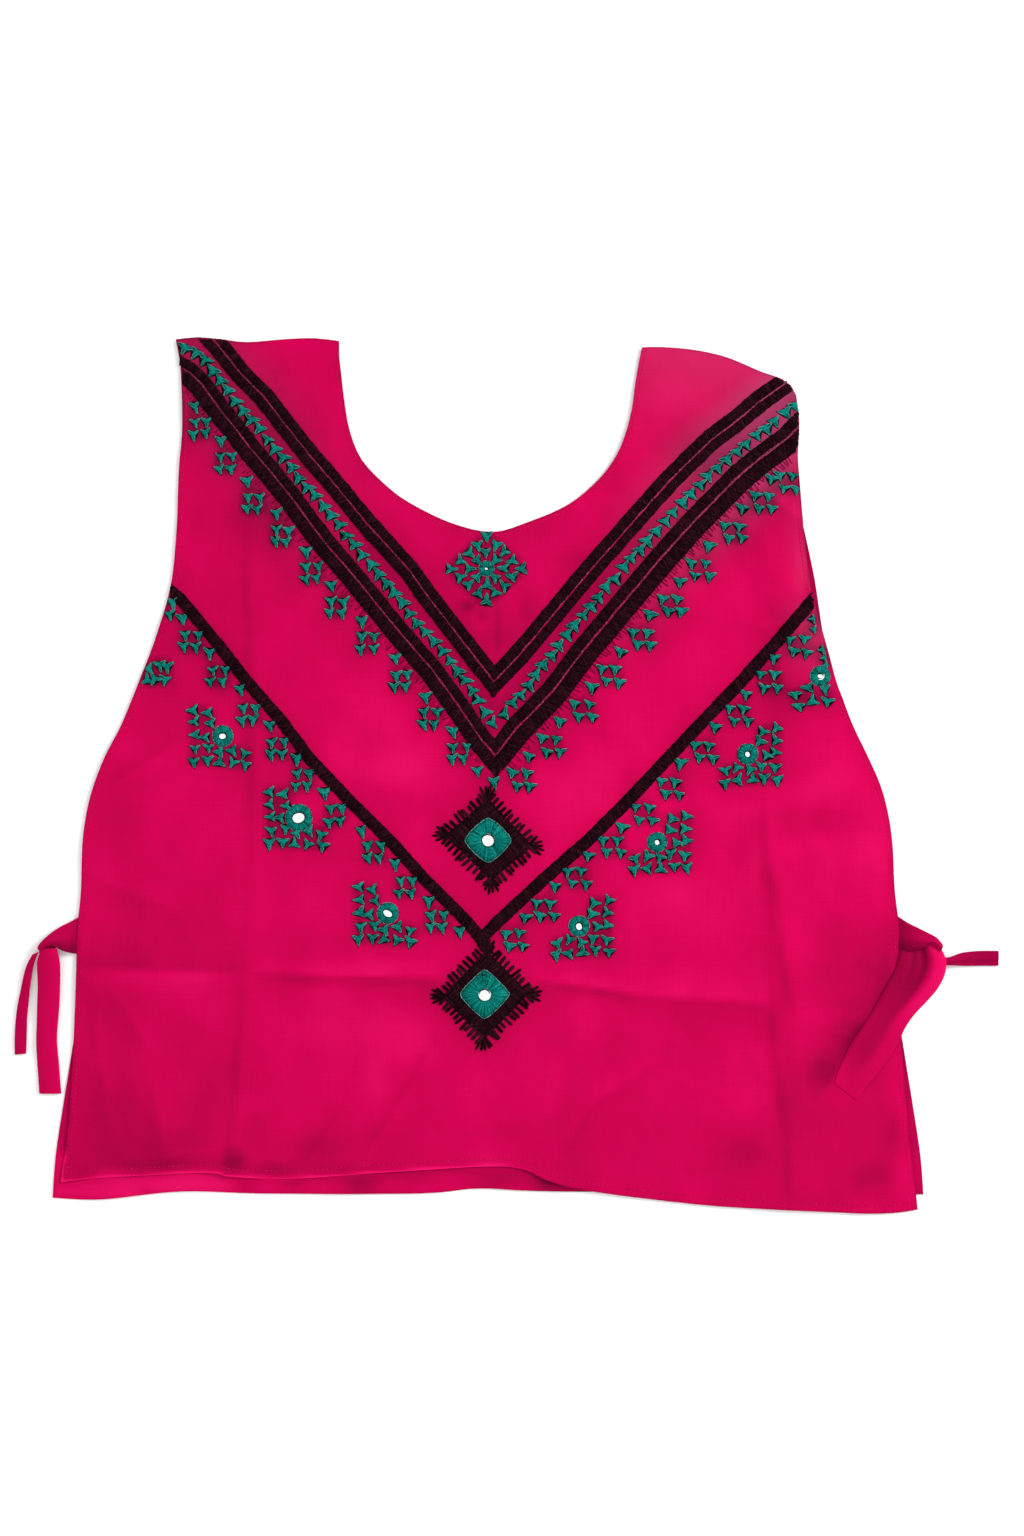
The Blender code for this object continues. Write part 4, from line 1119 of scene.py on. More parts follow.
across, down = UPPER_LEFT_SINGLE
upper_left_singles = [(x + across, y + down) for x, y in UPPER_LEFT_FOURS]
across, down = UPPER_RIGHT_SINGLE
upper_right_singles = [(x + across, y + down) for x, y in UPPER_RIGHT_FOURS[1:]]
upper_stars = fours_and_singles(UPPER_LEFT_FOURS, upper_left_singles, LEFT_FOUR, LEFT_TIPS)
upper_stars += fours_and_singles(UPPER_RIGHT_FOURS, upper_right_singles, RIGHT_FOUR, RIGHT_TIPS)
upper_stars += fours_and_singles((), APEX_SINGLES, (), LEFT_TIPS)
lower_stars = fours_and_singles(LOWER_LEFT_FOURS, LOWER_LEFT_SINGLES, LEFT_FOUR, LEFT_TIPS)
lower_stars += fours_and_singles(LOWER_RIGHT_FOURS, LOWER_RIGHT_SINGLES, RIGHT_FOUR, RIGHT_TIPS)
for name, stars, seed in (("upper_fours", upper_stars, 90), ("lower_fours", lower_stars, 95)):
    places = np.array(stars)
    lay_stars(name, places[inside_front(places[:, :2], 2.0)], seed)

# Corner motifs and neck motif
# Below the lower V the stars fill corner shapes, two columns and two rows that meet outside and below a
# mirror. Under the neck they make a diamond round the smallest mirror, every star pointing in at it.
CORNER_STARS = (
    # millimetres from a left mirror, and the tips' directions; on the right it is all mirrored
    (-17.7, 15.6, 55, 185, 310), (-9.3, 14.1, 55, 185, 310), (-17.0, 8.4, 55, 185, 310),
    (-7.6, 7.6, 55, 185, 310), (-16.8, 0.7, 55, 185, 310), (-11.4, -0.4, 50, 190, 300),
    (-16.5, -7.9, 35, 155, 275), (-8.2, -6.9, 35, 150, 275), (-1.7, -9.3, 60, 180, 300),
    (5.7, -8.1, 60, 180, 300), (13.6, -9.8, 10, 140, 250), (-17.7, -15.3, 30, 150, 270),
    (-9.8, -14.3, 30, 150, 270), (-2.4, -15.5, 90, 210, 330), (6.0, -15.8, 0, 120, 240),
    (13.8, -16.7, 10, 140, 265),
)
LEFT_MIRRORS = ((-159.0, 23.4), (-113.4, -25.5), (-60.0, -82.8))
RIGHT_MIRRORS = ((54.6, -90.6), (101.4, -40.2), (155.7, 12.6))
ARMHOLE_STARS = (
    # the corner motifs that the armholes cut: photo pixels, size and the tips' directions
    (158, 664, 0.92, 35, 155, 275), (167, 666, 0.92, 20, 150, 275), (148, 669, 0.92, 60, 180, 300),
    (147, 679, 0.92, 90, 210, 330), (154, 679, 0.92, 0, 120, 240), (166, 680, 0.92, 10, 140, 265),
    (822.5, 649, 0.62, 85, 185, 275), (824, 657, 0.62, 95, 200, 280), (826, 665, 0.62, 100, 190, 280),
    (813.5, 618, 0.62, 85, 190, 285), (794, 694, 0.92, 10, 175, 290), (808, 687, 0.92, 50, 175, 300),
    (825, 690, 0.92, 35, 150, 275), (798, 706, 0.92, 10, 175, 290), (811, 701, 0.92, 90, 210, 330),
    (828, 701, 0.92, 20, 150, 270), (814, 629, 0.62, 60, 180, 280),
)
CORNER_SIZE = 0.88
NECK_MIRROR = (-0.9, 123.7)
NECK_WIDEST = 5  # stars in the diamond's widest row
NECK_ROW_STEP, NECK_STAR_STEP, NECK_SIZE = 4.84, 10.5, 0.9
NECK_MIRROR_ROOM = 5  # no star's middle lies nearer to the small mirror
NECK_TIP_TURNS = (0, 128, 232)  # from the tip that points at it

corner_stars = []
for centres, side in ((LEFT_MIRRORS, 1), (RIGHT_MIRRORS, -1)):
    for x, y in centres:
        for across, up, *tips in CORNER_STARS:
            turned = tips if side == 1 else sorted((180 - tip) % 360 for tip in tips)
            corner_stars.append((x + across * side, y + up, *turned, CORNER_SIZE))
for column, row, size, *tips in ARMHOLE_STARS:
    corner_stars.append((*from_pixel(column, row), *tips, size))
places = np.array(corner_stars)
lay_stars("corner_stars", places[inside_front(places[:, :2], 1.2)], 100)

neck_stars = []
for row in range(1 - NECK_WIDEST, NECK_WIDEST):
    count = NECK_WIDEST - abs(row)
    for k in range(count):
        across, up = (k - (count - 1) / 2) * NECK_STAR_STEP, row * NECK_ROW_STEP
        if math.hypot(across, up) > NECK_MIRROR_ROOM:
            inward_tip = math.degrees(math.atan2(-up, -across)) % 360
            tips = sorted((inward_tip + turn) % 360 for turn in NECK_TIP_TURNS)
            neck_stars.append((NECK_MIRROR[0] + across, NECK_MIRROR[1] + up, *tips, NECK_SIZE))
lay_stars("neck_stars", neck_stars, 105)

# The front's tone, with the cloth beside the embroidery darker: partly painted shade, where the raised
# stitches shade the cloth they draw in, and partly dye that has run from them, close to every star, between
# the two pairs of black rows, along them and round the diamonds.
DIAMOND_MIDDLES = ((0.0, -39.0), (-1.6, -131.5))
crowd, near_star = np.zeros(len(front_points)), np.full(len(front_points), 1e9)
front_x, front_y = front_points[:, 0], front_points[:, 1]
for x, y, *_ in (*upper_stars, *lower_stars, *corner_stars, *neck_stars):
    away = np.hypot(front_x - x, front_y - y)
    near_star = np.minimum(near_star, away)
    crowd += np.exp(-((away / 6) ** 2))
near_chain, near_upper, near_lower = [
    np.min([near_line(front_x, front_y, np.array(line))[0] for line in lines], axis=0)
    for lines in ((LEFT_CHAIN, RIGHT_CHAIN), (UPPER_INNER_LINE, UPPER_OUTER_LINE), (LOWER_LINE,))
]
near_diamonds = [np.abs(front_x - x) + np.abs(front_y - y) for x, y in DIAMOND_MIDDLES]
shade_and_run_dye = 0.62 * np.clip((crowd - 0.6) / 0.8, 0, 1)
for distance, amount, reach, power in (
    # from what, how much duller, how far out and how sharply that ends
    (near_chain, 0.42, 9, 4),
    (near_star, 0.17, 12, 2),
    (near_upper, 0.25, 16, 2),
    (near_lower, 0.12, 8, 2),
    (near_diamonds[0], 0.25, 40, 6),
    (near_diamonds[1], 0.25, 40, 6),
):
    shade_and_run_dye += amount * np.exp(-((distance / reach) ** power))
set_attribute(front_panel.data, "tone", front_tone(front_x, front_y) - shade_and_run_dye)

# Painted sheen greys the dye on the right shoulder, towards the light, along the armhole under it and beside
# the upper V's rows
SHEEN_PLACES = (
    # middle x, y, half sizes across and up, and how grey
    (150, 262, 95, 42, 0.12), (195, 152, 14, 34, 0.06), (195, 86, 14, 20, 0.1), (189, 128, 6, 24, 0.08),
)
painted_sheen = 0.3 * np.clip((front_x - 60) / 110, 0, 1) ** 1.5 + 0.05 * np.clip((-front_x - 60) / 110, 0, 1)
painted_sheen *= np.exp(-((near_upper / 18) ** 2))
for place in SHEEN_PLACES:
    painted_sheen = np.maximum(painted_sheen, spot(front_x, front_y, *place))
set_attribute(front_panel.data, "painted_sheen", painted_sheen)

# Diamonds
# Two diamonds of black thread stand in the middle, each stitched straight out from its green square, with
# every fourth stitch run on past the edge as a fringe that fans out at the corners.
DIAMONDS = (
    # name, corners left, top, right and bottom in photo pixels
    ("upper", (446, 835), (488, 798), (532, 846), (491, 881)),
    ("lower", (442, 996), (487, 950), (529, 993), (484, 1039)),
)
DIAMOND_RISE = 0.35
FRINGE_PITCH, FRINGE_REACH = 3.25, 6.4
FAN_TURNS = (-0.62, -0.2, 0.15, 0.58)  # radians, where the fringe fans out at a corner
LONGEST_STITCH = 11.0
JOIN_STITCHES = 9  # they run from the point of the lower V to the lower diamond
JOIN_START, JOIN_END = (-4.2, -97.0), (0.2, -107.0)


def padded_square(name, corners, rise, material, count=14):
    """A low padded patch between four corners that follows the cloth."""
    bm = bmesh.new()
    bmesh.ops.create_grid(bm, x_segments=count, y_segments=count, size=0.5)
    left, top, right, bottom = corners
    points = np.array([v.co for v in bm.verts])
    s, t = points[:, [0]] + 0.5, points[:, [1]] + 0.5
    flat = (left * (1 - s) + top * s) * (1 - t) + (bottom * (1 - s) + right * s) * t
    edge = np.minimum(np.minimum(s, 1 - s), np.minimum(t, 1 - t))[:, 0]
    heights = front_top(flat[:, 0], flat[:, 1]) + rise * np.clip(edge / 0.08, 0, 1)
    place_verts(bm.verts, np.column_stack([flat, heights]))
    return padded(bm, name, material)


for place, *corner_pixels in DIAMONDS:
    corners = [np.array(from_pixel(*corner)) for corner in corner_pixels]
    middle = sum(corners) / 4
    rng = np.random.default_rng(110 if place == "upper" else 111)
    dress(padded_square(f"diamond_{place}_base", corners, DIAMOND_RISE, black_thread))
    stitches, fringe = [], []
    for start, end in zip(corners, corners[1:] + corners[:1]):
        points, along = walk((start, end), STITCH_PITCH)
        outward = leftward(along)
        depth = np.abs(((points - middle) * outward).sum(1))
        inner = np.minimum(depth, LONGEST_STITCH) * rng.uniform(0.9, 1.0, len(points))
        starts = points - outward * inner[:, None]
        ends = points + outward * rng.uniform(-0.2, 0.5, (len(points), 1))
        stitches.append(thread_rows(starts, ends, rng.uniform(0.8, 1.1, len(points)), 0.6))
        points, along = walk((start, end), FRINGE_PITCH)
        outward = leftward(along)
        lean = along * rng.normal(0, 0.12, (len(points), 1))
        reach = FRINGE_REACH * rng.uniform(0.72, 1.12, (len(points), 1))
        widths = rng.uniform(2.1, 2.6, len(points))
        fringe_ends = points + (outward + lean) * reach
        fringe.append(thread_rows(points - outward * 2.5, fringe_ends, widths, 0.45 * widths))
    for corner in corners:
        outward = (corner - middle) / np.hypot(*(corner - middle))
        square = np.array((-outward[1], outward[0]))
        for turn in FAN_TURNS:
            way = outward * math.cos(turn) + square * math.sin(turn)
            fan_end = corner + way * FRINGE_REACH * rng.uniform(1.1, 1.4)
            fringe.append(np.array([[*(corner - outward * 3), *fan_end, rng.uniform(1.8, 2.3), 0.8]]))
    if place == "lower":
        share = np.linspace(-1, 1, JOIN_STITCHES)[:, None]
        starts = np.array(JOIN_START) + share * (4.0, 0.4)
        ends = np.array(JOIN_END) + share * (3.2, -0.6)
        fringe.append(thread_rows(starts, ends, 1.5, 0.8))
    stitches, fringe = np.concatenate(stitches), np.concatenate(fringe)
    patch = lay_threads(f"diamond_{place}_stitches", stitches, black_thread, lift=DIAMOND_RISE, seed=112)
    spikes = lay_threads(f"diamond_{place}_fringe", fringe, black_thread, lift=0.05, seed=113)
    dress(patch, "diamond_" + place)
    dress(spikes)

# Mirrors and their rings
# Each mirror is a thin disc of silvered glass held down by buttonhole stitches in green floss, worked round
# it from the cloth up over its rim. On the two diamonds the stitches run out into a square.
OVAL = 2.0  # how square an edge is: 1 is a square on its corner
RINGS = (
    # name, middle, ring reach, opening half sizes and tilt in degrees
    ("left_high", LEFT_MIRRORS[0], 6.3, 2.2, 1.8, 20),
    ("left_middle", LEFT_MIRRORS[1], 8.0, 3.9, 3.1, 25),
    ("left_low", LEFT_MIRRORS[2], 6.4, 2.9, 2.1, -32),
    ("right_low", RIGHT_MIRRORS[0], 6.2, 1.9, 2.3, 0),
    ("right_middle", RIGHT_MIRRORS[1], 5.9, 1.5, 1.75, 0),
    ("right_high", RIGHT_MIRRORS[2], 6.2, 1.55, 1.85, 0),
    ("right_side", (199.2, 59.3), 6.1, 1.85, 1.4, 0),
    ("medallion", NECK_MIRROR, 4.7, 1.0, 0.9, 0),
)
SQUARES = (
    # name, node, middle, reach across and up, how square, opening half sizes and tilt in degrees
    ("diamond_upper", "square_upper", (0.1, -39.1), 14.0, 13.4, 1.25, 3.6, 3.6, 0),
    ("diamond_lower", "square_lower", (-1.9, -131.2), 14.9, 15.0, 1.15, 3.0, 3.2, -20),
)
RING_EDGE_TONE, SQUARE_EDGE_TONE = -0.8, 0.0
GLASS_THICK = 0.55
GLASS_LIFT = 0.15
RING_RISE = 0.75
RING_PITCH = 0.62
EDGING_PITCH, EDGING_OVERLAP = 1.5, 1.25
RIM_STITCHES = 26
SQUARE_BED = 0.7  # the squares are worked over the diamonds' stitches

# Silvered glass, cut from a blown bubble: almost a clean mirror, a little wavy and cool
silvered_glass, tree = new_material("silvered_mirror_glass")
place = add_node(tree, "TexCoord")
blown = {"Scale": 160.0, "Detail": 1.0}  # waves of about 6 mm
bubble = add_node(tree, "TexNoise", blown, {"Vector": (place, "Object")})
haze = add_node(tree, "MapRange", {3: 0.03, 4: 0.12}, {"Value": (bubble, "Fac")})
wavy = add_node(tree, "Bump", {"Strength": 0.2, "Distance": 0.0002}, {"Height": (bubble, "Fac")})
silver = add_node(
    tree,
    "BsdfPrincipled",
    {"Base Color": linear("#FAFCFC"), "Metallic": 1.0},
    {"Roughness": (haze, "Result"), "Normal": (wavy, "Normal")},
)
add_node(tree, "OutputMaterial", links={"Surface": (silver, "BSDF")})


def edge_radius(angle, across, up, roundness):
    """How far the edge of a more or less round shape is from its middle, in a direction."""
    parts = np.abs(np.cos(angle) / across) ** roundness + np.abs(np.sin(angle) / up) ** roundness
    return parts ** (-1 / roundness)


def held_mirror(name, node, middle, across, up, roundness, open_across, open_up, tilt, seed, edge, bed=0.0):
    """One glass and the stitches that hold it. The edge is the tone of the round of thread outside them."""
    x, y = middle
    rng = np.random.default_rng(seed)
    around = np.linspace(0, math.tau, 12)
    level = float(front_top(x + 4 * np.cos(around), y + 4 * np.sin(around)).max()) + bed
    bm = bmesh.new()
    bmesh.ops.create_circle(bm, cap_ends=True, segments=28, radius=max(open_across, open_up) + 0.5)
    raise_walls(bm, GLASS_THICK)
    bmesh.ops.translate(bm, verts=bm.verts, vec=(x, y, level + GLASS_LIFT))
    bmesh.ops.scale(bm, verts=bm.verts, vec=(MM, MM, MM))
    glass = new_object("glass_" + name, mesh_from(bm, "glass_" + name), silvered_glass)
    dress(glass, "mirror_" + name)

    def at(angle, radius):
        """Places round the mirror's middle."""
        return np.array(middle) + unit(angle) * radius[:, None]

    girth = math.tau * (across + up) / 2
    count = round(girth / RING_PITCH)
    angle = np.linspace(0, math.tau, count, endpoint=False) + rng.normal(0, 0.25 / count, count)
    turned = angle - math.radians(tilt)
    inner = edge_radius(turned, open_across, open_up, OVAL) * rng.uniform(0.96, 1.06, count)
    outer = edge_radius(angle, across, up, roundness) + rng.uniform(-0.25, 0.15, count)
    rows = [thread_rows(at(angle, inner), at(angle, outer), rng.uniform(0.7, 1.0, count), 0.75)]
    # a second, shorter layer fills the fan's gaps and pads the ring
    between = angle + math.pi / count
    low = inner + (outer - inner) * rng.uniform(0.3, 0.5, count)
    rows.append(thread_rows(at(between, low), at(between, outer - 0.3), rng.uniform(0.8, 1.1, count), 0.6))
    # the inner rim: a tight round of dark stitches on the glass, fuller on the side towards the light, as
    # painted shadow where the rim shades the glass
    rim = np.linspace(0, math.tau, RIM_STITCHES, endpoint=False)
    rim_points = []
    for a in (rim, rim + math.tau / 22):
        radius = edge_radius(a - math.radians(tilt), open_across, open_up, OVAL) + 0.25
        rim_points.append(at(a, radius - 0.4 * np.clip(np.sin(a + 0.5), 0, 1)))
    rows.append(thread_rows(*rim_points, 0.65 + 0.3 * np.clip(np.sin(rim + 0.5), 0, 1), 0.9))

    def domed(px, py):
        """The ring lies highest over the glass's rim and runs down to the cloth outside."""
        away = np.hypot(px - x, py - y)
        bearing = np.arctan2(py - y, px - x)
        share = np.clip(away / edge_radius(bearing, across, up, roundness), 0, 1)
        return front_top(px, py) + bed + RING_RISE * np.clip((1 - share) / 0.45, 0, 1) ** 0.7

    # the inner rim's stitches get the deepest tone: painted shadow
    tones = np.concatenate([np.zeros(count), rng.uniform(-1.4, 0.0, count), np.full(RIM_STITCHES, -1.8)])
    rows = np.concatenate(rows)
    ring = lay_threads("ring_threads_" + name, rows, green_floss, domed, 0.0, seed + 1, tones)
    dress(ring, node)
    loops = round(girth / EDGING_PITCH)
    loop = np.linspace(0, math.tau, loops, endpoint=False)
    ends = []
    for a in (loop, loop + math.tau / loops * EDGING_OVERLAP):
        ends.append(at(a, edge_radius(a, across, up, roundness) + rng.uniform(-0.15, 0.2, loops)))
    edging = thread_rows(*ends, 0.55, 0.6)
    lift = 0.1 + bed
    edging = lay_threads("ring_edge_" + name, edging, pale_floss, lift=lift, seed=seed + 2, tone=edge)
    dress(edging)


for k, (name, middle, reach, *opening) in enumerate(RINGS):
    held_mirror(name, "ring_" + name, middle, reach, reach, OVAL, *opening, 120 + 5 * k, RING_EDGE_TONE)
for k, square in enumerate(SQUARES):
    held_mirror(*square, 170 + 5 * k, SQUARE_EDGE_TONE, SQUARE_BED)

# Ties
# Each tie is a strip of the same cotton, folded and seamed. A short strap is sewn under the front's side
# edge, and the long tail is knotted over it, so that one end hangs down and one stands off to the side.
RIGHT_STRAP = (
    # edge one x, y, height and edge two x, y, height, in photo pixels and millimetres; from root to knot
    (895, 915, 0.9, 895, 953, 0.9), (900, 918, 2.2, 900, 953, 2.2), (906, 922, 4.2, 906, 952, 4.2),
    (914, 926, 6.0, 913, 950, 6.0), (924, 931, 7.4, 920, 948, 7.4), (932, 935, 8.0, 926, 945, 8.0),
    (937, 939, 8.4, 931, 944, 8.8), (941.5, 945, 7.8, 938, 949, 8.6), (940.5, 949, 6.4, 939, 951, 6.8),
)
RIGHT_TAIL = (
    # left edge x, y, height, right edge x, y, height, from the knot to the square end
    (906, 938, 2.6, 930, 936, 5.4), (902, 946, 2.6, 936, 943, 7.0), (899.5, 953, 2.9, 943, 953, 8.0),
    (897, 962, 3.3, 945.5, 963, 8.5), (893.5, 972, 3.5, 943, 976, 8.6), (887.5, 983, 3.6, 936, 989, 8.0),
    (880, 996, 3.6, 926, 1001, 7.0), (871, 1012, 3.6, 914, 1014, 6.0), (861.5, 1027, 3.6, 904.5, 1028, 5.2),
    (852, 1041, 3.6, 897, 1044, 4.8), (844, 1056, 3.6, 884, 1064, 4.4), (838, 1070, 3.5, 871, 1080, 4.0),
    (834, 1083, 3.4, 856, 1100, 3.4),
)
RIGHT_END = (
    (941, 956, 6.4, 941, 964, 6.0), (947, 957, 5.0, 946.5, 965, 4.6), (955, 955, 3.4, 955, 965.5, 3.0),
    (963, 952.5, 2.4, 963, 966, 2.1), (980, 951, 1.7, 980, 966, 1.5), (999, 951, 1.5, 999, 966, 1.4),
)
LEFT_STRAP = (
    (83, 915, 0.9, 83, 954, 0.9), (77, 918, 1.6, 77, 954, 1.6), (70, 922, 3.4, 71, 953, 3.2),
    (62, 926, 5.0, 64, 951, 4.8), (53, 932, 6.4, 57, 947, 6.0), (46, 938, 6.9, 51, 945, 6.8),
    (41, 943, 6.6, 46, 947, 6.9), (38.5, 947, 6.0, 41, 951, 6.4),
)
LEFT_TAIL = (
    (42, 948, 5.4, 58, 948, 5.8), (38, 962, 5.4, 61, 962, 5.8), (38, 985, 4.2, 61, 985, 4.6),
    (37, 1012, 3.0, 59, 1013, 3.2), (36, 1040, 2.4, 57, 1041, 2.6), (37, 1066, 2.0, 59, 1066, 2.2),
    (39, 1094, 1.8, 61, 1094, 2.0),
)
LEFT_END = (
    (40, 952, 5.0, 33, 954, 4.6), (34, 966, 3.4, 26, 967, 3.2), (30, 990, 2.4, 20, 991, 2.2),
    (27, 1020, 1.9, 15, 1021, 1.8), (26, 1054, 1.7, 14, 1055, 1.6),
)
TIE_THICK = 0.9  # two layers of cambric
TIE_STEP = 1.6
TIE_ACROSS = 12  # squares across the strip
TIE_ROUNDING = 0.3
# painted shade: the knot lies in shade under the strap
KNOT_TONE = -0.8


def laid_strip(name, stations, profile, tone, node, flat, area=None):
    """A folded strip between two edges. The profile is its height in millimetres from edge to edge."""
    rows = np.array(stations, float)
    edges = []
    for first in (0, 3):
        knots = np.column_stack([*from_pixel(rows[:, first], rows[:, first + 1]), rows[:, first + 2]])
        edges.append(np.array([*smooth_line(knots, TIE_STEP), knots[-1]]))
    length = max(len(edge) for edge in edges)
    spread = []
    for edge in edges:
        old, new = np.linspace(0, 1, len(edge)), np.linspace(0, 1, length)
        spread.append(np.stack([np.interp(new, old, edge[:, k]) for k in range(3)], 1))
    bm = bmesh.new()
    bmesh.ops.create_grid(bm, x_segments=length - 1, y_segments=TIE_ACROSS, size=0.5)
    points = np.array([v.co for v in bm.verts])
    i = np.round((points[:, 0] + 0.5) * (length - 1)).astype(int)
    across = points[:, 1] + 0.5
    place = spread[0][i] * (1 - across[:, None]) + spread[1][i] * across[:, None]
    down = i / (length - 1)
    place[:, 2] += profile(across, down)
    if node == "tie_right_tail":
        # it rests on the front below the knot, and is pressed flat at its edges
        thin = np.exp(-((across / 0.1) ** 2)) + np.exp(-(((1 - down) / 0.05) ** 2))
        rest = front_top(place[:, 0], place[:, 1]) + TIE_THICK + 0.05 - 0.45 * np.clip(thin, 0, 1)
        resting = inside_front(place, 0.1) & (down > 0.15)
        place[:, 2] = np.where(resting, np.maximum(place[:, 2], rest), place[:, 2])
    place_verts(bm.verts, place)
    bmesh.ops.recalc_face_normals(bm, faces=bm.faces)
    if sum(f.normal.z for f in bm.faces) < 0:
        bmesh.ops.reverse_faces(bm, faces=bm.faces)
    mesh = mesh_from(bm, name)
    mesh.shade_smooth()
    set_attribute(mesh, "tone", tone(across, down))
    strip = new_object(name, mesh, cotton)
    walls = strip.modifiers.new("folded_cloth", "SOLIDIFY")
    walls.thickness, walls.offset = TIE_THICK * MM, -1.0
    rounding = strip.modifiers.new("soft_edges", "BEVEL")
    rounding.width, rounding.segments, rounding.limit_method = TIE_ROUNDING * MM, 2, "ANGLE"
    dress(strip, node)


# How high the cloth of each strip lies, from edge to edge (across, 0 to 1) and along it (down, 0 to 1)
def strap_fold(across, down):
    """A full fold that grows out of the seam."""
    rise = np.clip(down / 0.35, 0, 1)
    return rise * (0.9 * np.sin(math.pi * across) + 0.35 * np.sin(across * 9 + down * 4))


def tail_fold(across, down):
    """Two folds side by side under the knot, with a deep valley between, that open out towards the end."""
    upper = np.clip(1 - down / 0.55, 0, 1)
    valley = -2.6 * np.exp(-(((across - 0.55 + 0.12 * down) / 0.09) ** 2)) * upper
    valley -= 0.7 * np.exp(-(((across - 0.3 - 0.1 * down) / 0.05) ** 2)) * upper
    middle = 1.6 * np.sin(math.pi * across) * np.clip(down / 0.4, 0, 1) * np.clip((1 - down) / 0.3, 0, 1)
    roll = 1.2 * np.sin(math.pi * np.clip((across - 0.45) / 0.55, 0, 1)) * upper
    roll -= 2.4 * np.clip((across - 0.8) / 0.2, 0, 1) ** 2 * np.clip(1.4 - down / 0.45, 0, 1)
    lip = 0.4 * np.exp(-(((across - 0.1) / 0.05) ** 2))
    pressed = -0.6 * np.exp(-((across / 0.06) ** 2)) - 0.8 * np.exp(-(((1 - down) / 0.04) ** 2))
    waves = 0.2 * np.sin(down * 17 + across * 5) * np.sin(math.pi * across)
    return valley + middle + roll + lip + pressed + waves


def end_fold(across, down):
    """A low fold with a crease near edge two."""
    return 0.5 * np.sin(math.pi * across) - 0.8 * np.exp(-(((across - 0.72) / 0.1) ** 2))


def plain_fold(across, down):
    """A low fold that waves a little."""
    return 0.6 * np.sin(math.pi * across) + 0.25 * np.sin(down * 21 + across * 3)


def tail_tone(across, down):
    """The left fold lies in shade down from the knot, and the right one is turned to the light."""
    lit = 0.5 + 0.5 * np.tanh((across - 0.68 + 0.1 * down) / 0.06)
    left = np.interp(down, (0.0, 0.3, 0.5, 0.75, 0.95), (-0.7, -0.78, -0.58, -0.46, -0.12))
    right = np.interp(down, (0.0, 0.12, 0.42, 0.6, 0.95), (-0.1, 0.2, 0.26, -0.12, -0.12))
    tone = left * (1 - lit) + right * lit
    ridge, crease = ((across - middle - 0.1 * down) / 0.04 for middle in (0.26, 0.34))
    tone += 0.25 * (np.exp(-(ridge**2)) - np.exp(-(crease**2))) * np.clip(1.1 - 1.8 * down, 0, 1)
    tone -= 0.35 * np.exp(-(((across - 0.58 + 0.1 * down) / 0.05) ** 2)) * np.clip(1.1 - 2 * down, 0, 1)
    return tone + 0.3 * np.exp(-(((across - 0.12) / 0.035) ** 2))


def strap_tone(across, down):
    """The strap is in shade at the seam and on its lower half."""
    shaded = 0.3 * np.clip(1 - down * 3, 0, 1) + 0.5 * np.clip((across - 0.4) / 0.5, 0, 1)
    return -0.4 - shaded * np.clip(1.9 - 1.6 * down, 0, 1)


def even_tone(base, change=0.0):
    """One tone all over a strip, or one that changes evenly from edge one to edge two."""
    return lambda across, down: base + change * across


def knot_lump(name, node, column, row, across, up, height):
    """The knot's body under the strap: a soft lump with the turns of the strip round it."""
    x, y = from_pixel(column, row)
    bm = bmesh.new()
    bmesh.ops.create_icosphere(bm, subdivisions=4, radius=1.0)
    points = np.array([v.co for v in bm.verts])
    turns = 1 + 0.05 * np.sin(points[:, 0] * 5 + points[:, 2] * 7) + 0.03 * np.sin(points[:, 1] * 9)
    points = np.sign(points) * np.abs(points) ** 0.85 * turns[:, None] * (across, up, height / 2 - 0.3)
    place_verts(bm.verts, points + (x, y, height / 2 + 0.1))
    mesh = mesh_from(bm, name)
    mesh.shade_smooth()
    set_attribute(mesh, "tone", np.full(len(mesh.vertices), KNOT_TONE))
    dress(new_object(name, mesh, cotton), node)


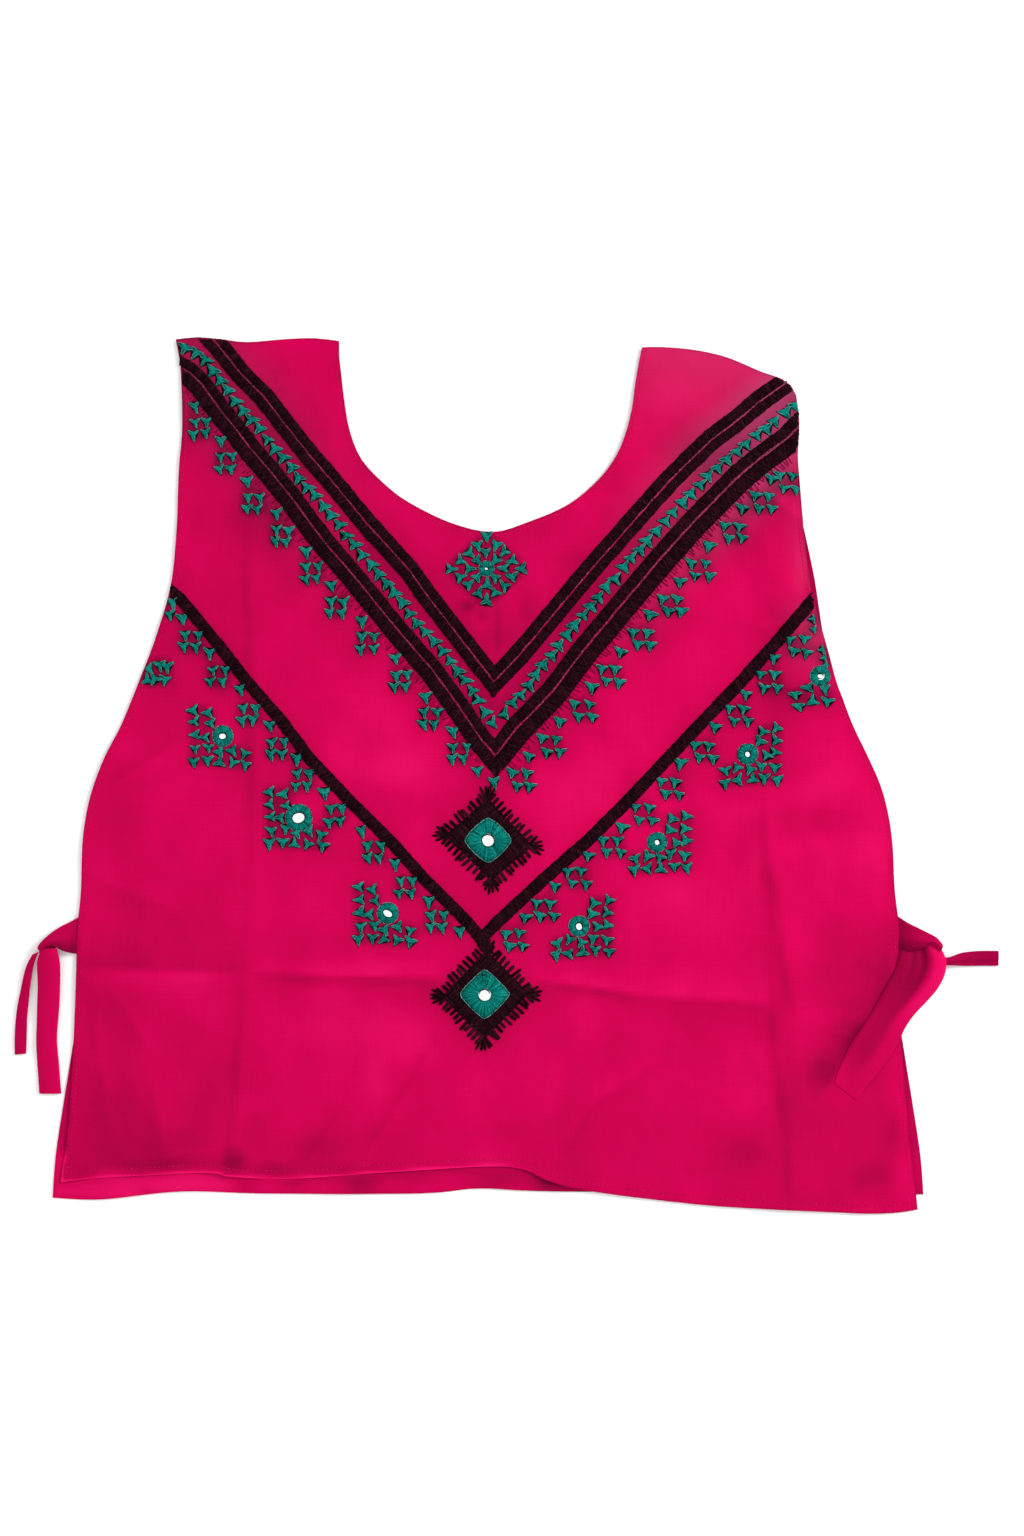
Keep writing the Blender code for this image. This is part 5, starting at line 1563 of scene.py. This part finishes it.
for strip in (
    # name, edges, fold, tone, the solid it stands for, flat size in metres, area if less than that
    ("right_tie_tail", RIGHT_TAIL, tail_fold, tail_tone, "tie_right_tail", (0.024, 0.13), None),
    ("right_tie_strap", RIGHT_STRAP, strap_fold, strap_tone, "tie_right_root", (0.020, 0.036), 0.00048),
    ("right_tie_end", RIGHT_END, end_fold, even_tone(-0.7), "tie_right_end", (0.010, 0.036), 0.00029),
    ("left_tie_tail", LEFT_TAIL, plain_fold, even_tone(-0.3, 0.3), "tie_left_tail", (0.014, 0.089), None),
    ("left_tie_strap", LEFT_STRAP, strap_fold, strap_tone, "tie_left_root", (0.020, 0.036), 0.00048),
    ("left_tie_end", LEFT_END, plain_fold, even_tone(-0.4), "tie_left_end", (0.010, 0.063), 0.00044),
):
    laid_strip(*strip)
knot_lump("right_tie_knot", "tie_right_knot", 932.5, 948.5, 5.2, 4.6, 6.4)
knot_lump("left_tie_knot", "tie_left_knot", 47.0, 949.0, 4.8, 4.4, 5.2)

# Hem stitching
# The turned edges are held by a running stitch in matching thread, one line along the hem and lines closer
# to the edge at the sides, the armholes and the neck.
HEM_STITCH, HEM_GAP = 2.1, 0.7
HEM_INSIDE, SIDE_INSIDE, NECK_INSIDE = 4.8, 2.7, 2.6  # how far inside the edge a line runs
HEM_CLEAR = 1.2  # a stitch is left out where it would come nearer to the edge than it should by this
PINKS = ("#98003C", "#AC0042", "#BC0248", "#CC1256")
pink_thread = thread_material("pink_sewing_thread", PINKS, 0.7, 0.0, 0.08)

running = []
neck_line = [np.array(NECK_LINE[0])] + neckline(0.0, OUTLINE_STEP) + [np.array(NECK_LINE[-1])]
for edge_line, inside in (
    (FRONT_HEM, HEM_INSIDE),
    (FRONT_RIGHT_SIDE, SIDE_INSIDE),
    (FRONT_LEFT_SIDE, SIDE_INSIDE),
    (neck_line, NECK_INSIDE),
):
    line = offset_line(smooth_line(edge_line, OUTLINE_STEP), inside)
    points, along = walk(line, HEM_STITCH + HEM_GAP)
    half = along * HEM_STITCH / 2
    kept = inside_front(points, inside - HEM_CLEAR)
    running.append(thread_rows(points - half, points + half, 0.5, 0.3)[kept])
dress(lay_threads("hem_stitches", np.concatenate(running), pink_thread, seed=200))
